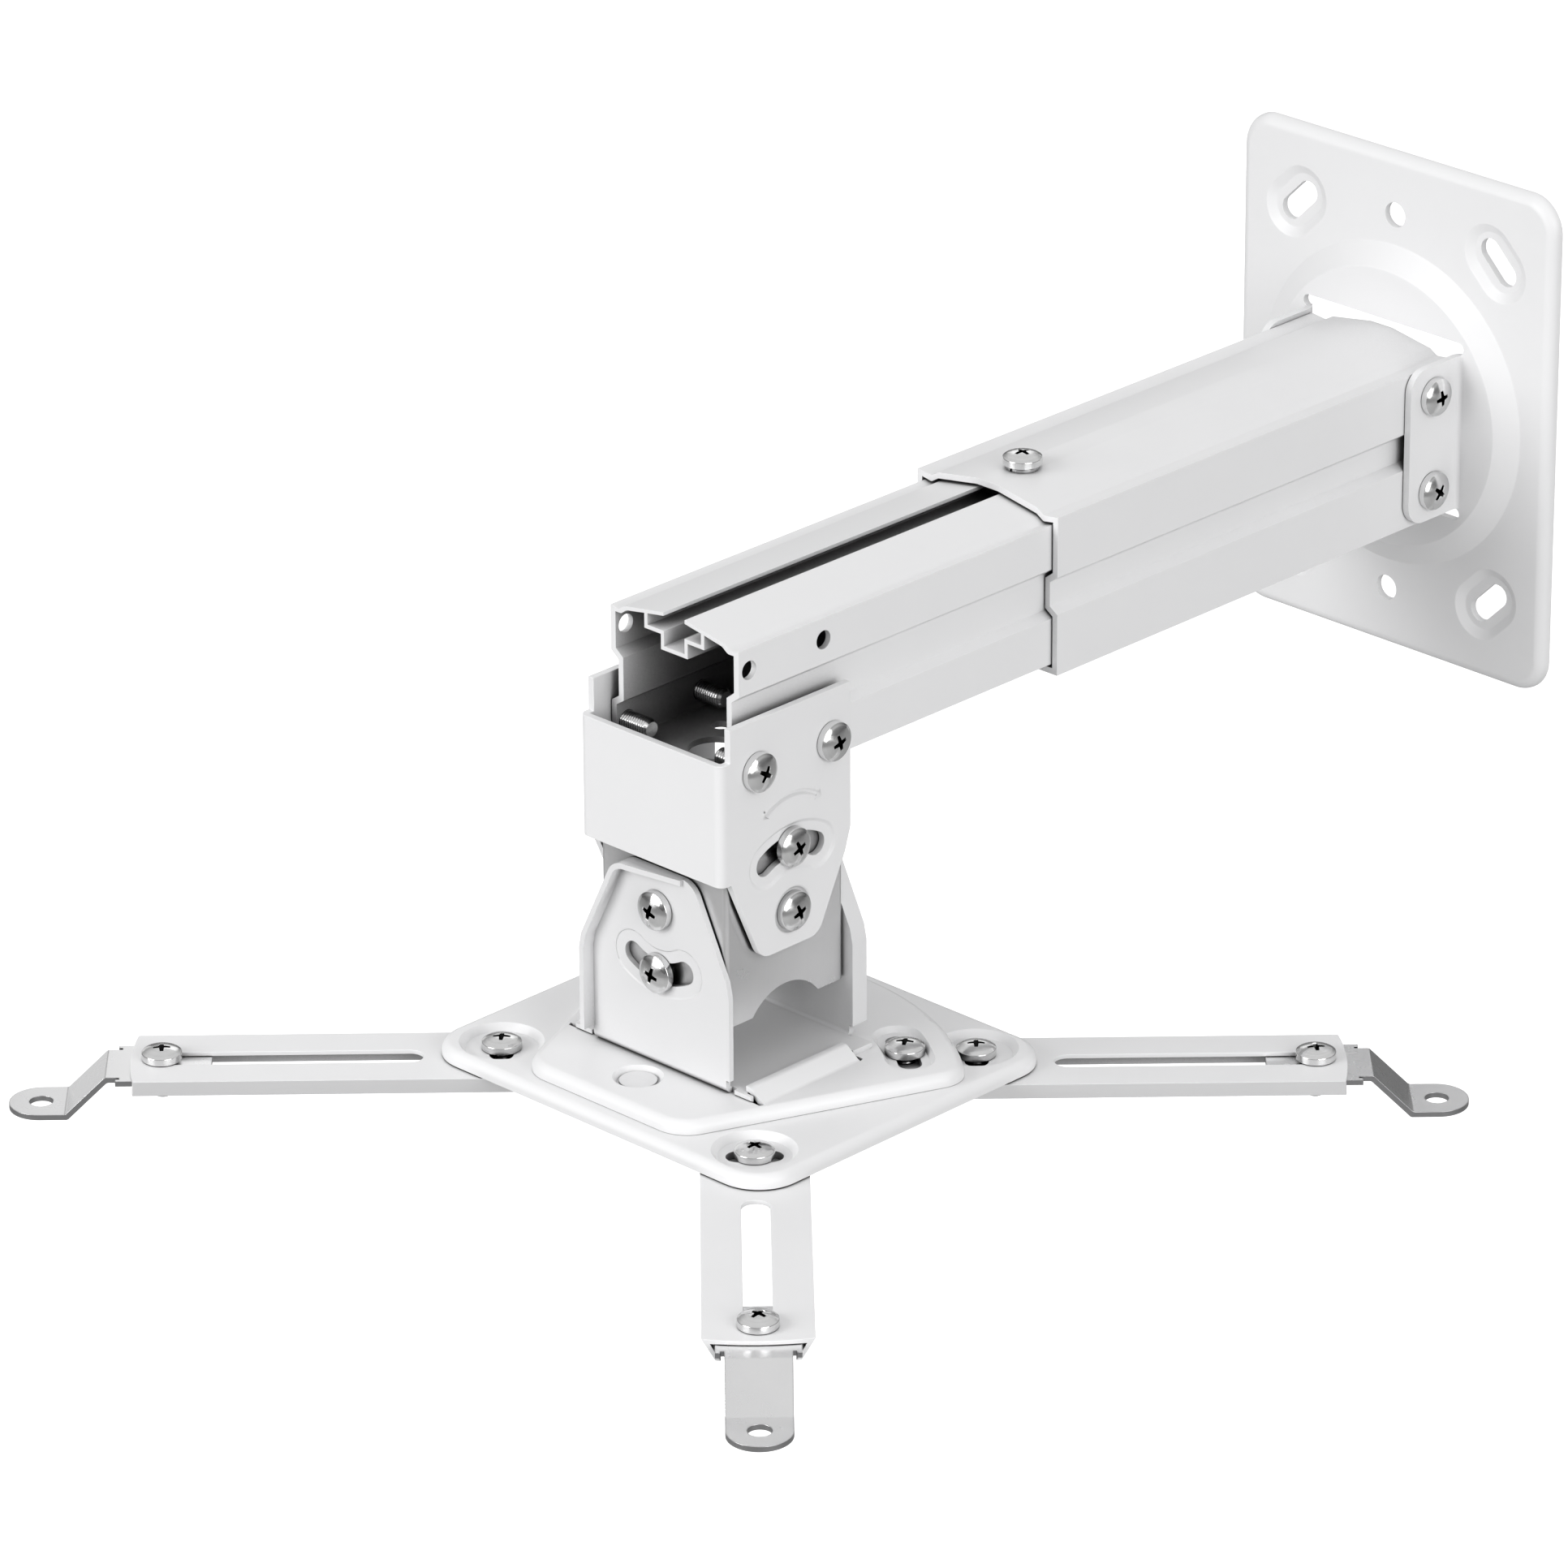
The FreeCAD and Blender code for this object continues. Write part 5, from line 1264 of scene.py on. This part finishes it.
@dataclass
class Spider:
    """The pressed spider plate and its four sets of nut, arm and tongue."""

    coat: bpy.types.Material
    zinc: bpy.types.Material
    stamped: bpy.types.Material

    def build(self) -> None:
        """Rebuild its nodes with softened edges."""
        thin = Softening(rim=0.1 * MM, crease=0.35 * MM)
        softened("spider_plate", "pressed", self.coat, Softening(crease=0.3 * MM))
        for corner in CORNERS:
            softened(f"arm_{corner}", "rolled", self.coat)
            softened(f"tongue_{corner}", "stamped", self.stamped, thin)
            softened(f"corner_nut_{corner}", "pressed", self.zinc)


@dataclass(frozen=True)
class SoftBox:
    """One square soft light: its place and side in metres, its power in watts."""

    name: str
    place: tuple[float, float, float]
    size: float
    power: float

    def hang(self, aim: Vector) -> None:
        """Hang it so that it looks at a point.

        Args:
            aim: The point.
        """
        data = bpy.data.lights.new(self.name, "AREA")
        data.size = self.size
        data.energy = self.power
        lamp = bpy.data.objects.new(self.name, data)
        place = Vector(self.place)
        turn = (place - aim).to_track_quat("Z", "Y").to_matrix().to_4x4()
        lamp.matrix_world = Matrix.Translation(place) @ turn
        bpy.context.scene.collection.objects.link(lamp)


@dataclass(frozen=True)
class Studio:
    """Pale floor, soft lights and the camera at the photograph's viewing angle.

    The camera looks back along azimuth and elevation from distance, in degrees and metres. The frame's
    origin lies aside to the right of the camera's axis and upward above it.
    """

    image_side: float = 1932.0
    focal_pixels: float = 10820.2
    centre_column: float = 1088.03
    centre_row: float = 874.31
    azimuth: float = 43.714
    elevation: float = 23.563
    roll: float = -0.066
    aside: float = 138.48 * MM
    upward: float = 83.46 * MM
    distance: float = 2373.01 * MM
    wall_offset: float = 1.5 * MM
    sensor: float = 36.0
    nearest: float = 0.1
    farthest: float = 50.0
    floor_drop: float = 0.75
    floor_half: float = 9.0
    floor_tone: float = 0.42
    floor_roughness: tuple[float, float] = (0.85, 0.95)
    paper_features: float = 6.0
    sky: float = 0.70
    sky_stops: tuple[tuple[float, float], ...] = ((0.0, 0.10), (0.3, 0.5), (0.65, 1.0))
    shown_sky: tuple[float, float, float] = (1.2, 1.2, 1.2)
    aim: tuple[float, float, float] = (0.0, -0.18, -0.05)
    boxes: tuple[SoftBox, ...] = (
        SoftBox("key", (-0.6, -2.05, 0.65), 1.2, 26.3),
        SoftBox("fill", (1.9, -0.6, 0.5), 1.4, 22.0),
        SoftBox("top", (0.0, -0.2, 1.9), 1.4, 0.2),
        SoftBox("card", (-1.4, 1.3, 0.85), 0.9, 2.0),
        SoftBox("left_card", (-2.0, 0.34, -0.07), 0.9, 1.5),
    )

    def camera(self) -> None:
        """Make the camera from the fitted view."""
        around = math.radians(self.azimuth)
        above = math.radians(self.elevation)
        roll = math.radians(self.roll)
        level = math.cos(above)
        back = Vector((math.sin(around) * level, -math.cos(around) * level, math.sin(above)))
        across = Vector((math.cos(around), math.sin(around), 0.0))
        upright = back.cross(across)
        right = across * math.cos(roll) + upright * math.sin(roll)
        up = upright * math.cos(roll) - across * math.sin(roll)
        place = back * self.distance - right * self.aside - up * self.upward
        place.y -= self.wall_offset
        data = bpy.data.cameras.new("view")
        data.sensor_width = self.sensor
        data.lens = self.focal_pixels / self.image_side * self.sensor
        data.shift_x = 0.5 - self.centre_column / self.image_side
        data.shift_y = self.centre_row / self.image_side - 0.5
        data.clip_start = self.nearest
        data.clip_end = self.farthest
        camera = bpy.data.objects.new("view", data)
        turn = Matrix((right, up, back)).transposed().to_4x4()
        camera.matrix_world = Matrix.Translation(place) @ turn
        bpy.context.scene.collection.objects.link(camera)
        bpy.context.scene.camera = camera

    def floor(self) -> None:
        """Lay the pale floor well below the arm."""
        material, sheet, shader = new_material("floor_paper")
        paper = sheet.noise(sheet.place(), self.paper_features)
        sheet.feed(shader.inputs["Roughness"], sheet.ramp(paper, *self.floor_roughness))
        shader.inputs["Base Color"].default_value = (*[self.floor_tone] * 3, 1.0)
        shader.inputs["Emission Color"].default_value = (1.0, 1.0, 1.0, 1.0)
        seen = sheet.add("ShaderNodeLightPath").outputs["Is Camera Ray"]
        sheet.feed(shader.inputs["Emission Strength"], seen)
        half = self.floor_half
        drop = cad_box[0].z - self.floor_drop
        corners = [(-half, -half, drop), (half, -half, drop), (half, half, drop), (-half, half, drop)]
        data = bpy.data.meshes.new("floor")
        data.from_pydata(corners, [], [(0, 1, 2, 3)])
        data.materials.append(material)
        floor = bpy.data.objects.new("floor", data)
        bpy.context.scene.collection.objects.link(floor)

    def lights(self) -> None:
        """Set the sky, which the camera sees as plain white, and the soft boxes."""
        world = bpy.data.worlds.new("sky")
        world.use_nodes = True
        sheet = Sheet(world.node_tree)
        background = world.node_tree.nodes["Background"]
        direction = sheet.add("ShaderNodeTexCoord").outputs["Generated"]
        height = sheet.add("ShaderNodeSeparateXYZ", Vector=direction).outputs["Z"]
        glow = sheet.add("ShaderNodeValToRGB", Fac=height)
        band = glow.color_ramp.elements
        band.new(self.sky_stops[1][0])
        for stop, (position, grey) in zip(band, self.sky_stops):
            stop.position = position
            stop.color = (grey, grey, grey, 1.0)
        seen = sheet.add("ShaderNodeLightPath").outputs["Is Camera Ray"]
        sheet.feed(background.inputs["Color"], sheet.blend(seen, glow.outputs["Color"], self.shown_sky))
        background.inputs["Strength"].default_value = self.sky
        bpy.context.scene.world = world
        for box in self.boxes:
            box.hang(Vector(self.aim))

    def build(self) -> None:
        """Set up the whole studio."""
        self.camera()
        self.floor()
        self.lights()
        bpy.context.scene.view_settings.view_transform = "Standard"


def main() -> None:
    """Build every sub-assembly in order."""
    logging.basicConfig(level=logging.INFO, format="%(name)s: %(message)s")
    effects = make_effects()
    coat = CoatFinish("powder_coat").build(effects)
    # A darker copy of the white coat: painted shade on the lower bracket and the rivet.
    yoke_shaded_finish = CoatFinish("yoke_shaded_coat", light=(0.775, 0.775, 0.78), dark=(0.745, 0.745, 0.752))
    yoke_shaded_coat = yoke_shaded_finish.build(effects)
    # Painted shade reaches far into the tubes and darkens them inside.
    extruded = CoatFinish("coated_extrusion", lines=0.15, reach=60 * MM, open=0.62).build(effects)
    # Strong painted shade on the zinc sheet, in its gaps and beside the brackets' edges.
    zinc = PlatedFinish("zinc_sheet", reach=14 * MM, open=0.88).build(effects)
    # Painted shade: dark edges and dark upright faces outline the tongues' sides and bends.
    stamped_finish = PlatedFinish("stamped_zinc", edge_wear_and_shade=(0.30, 0.30, 0.305), upright_shade=(0.38, 0.38, 0.385),
                                  edge=0.8 * MM, roughness=0.27)
    stamped = stamped_finish.build(effects)
    nickel = ScrewFinish("nickel_screw").build(effects)
    WallMount(coat, extruded, zinc).build()
    Extension(coat, extruded).build()
    Head(coat, yoke_shaded_coat, zinc).build()
    Spider(coat, zinc, stamped).build()
    PanScrews().build(nickel)
    Studio().build()


if __name__ == "__main__":
    main()
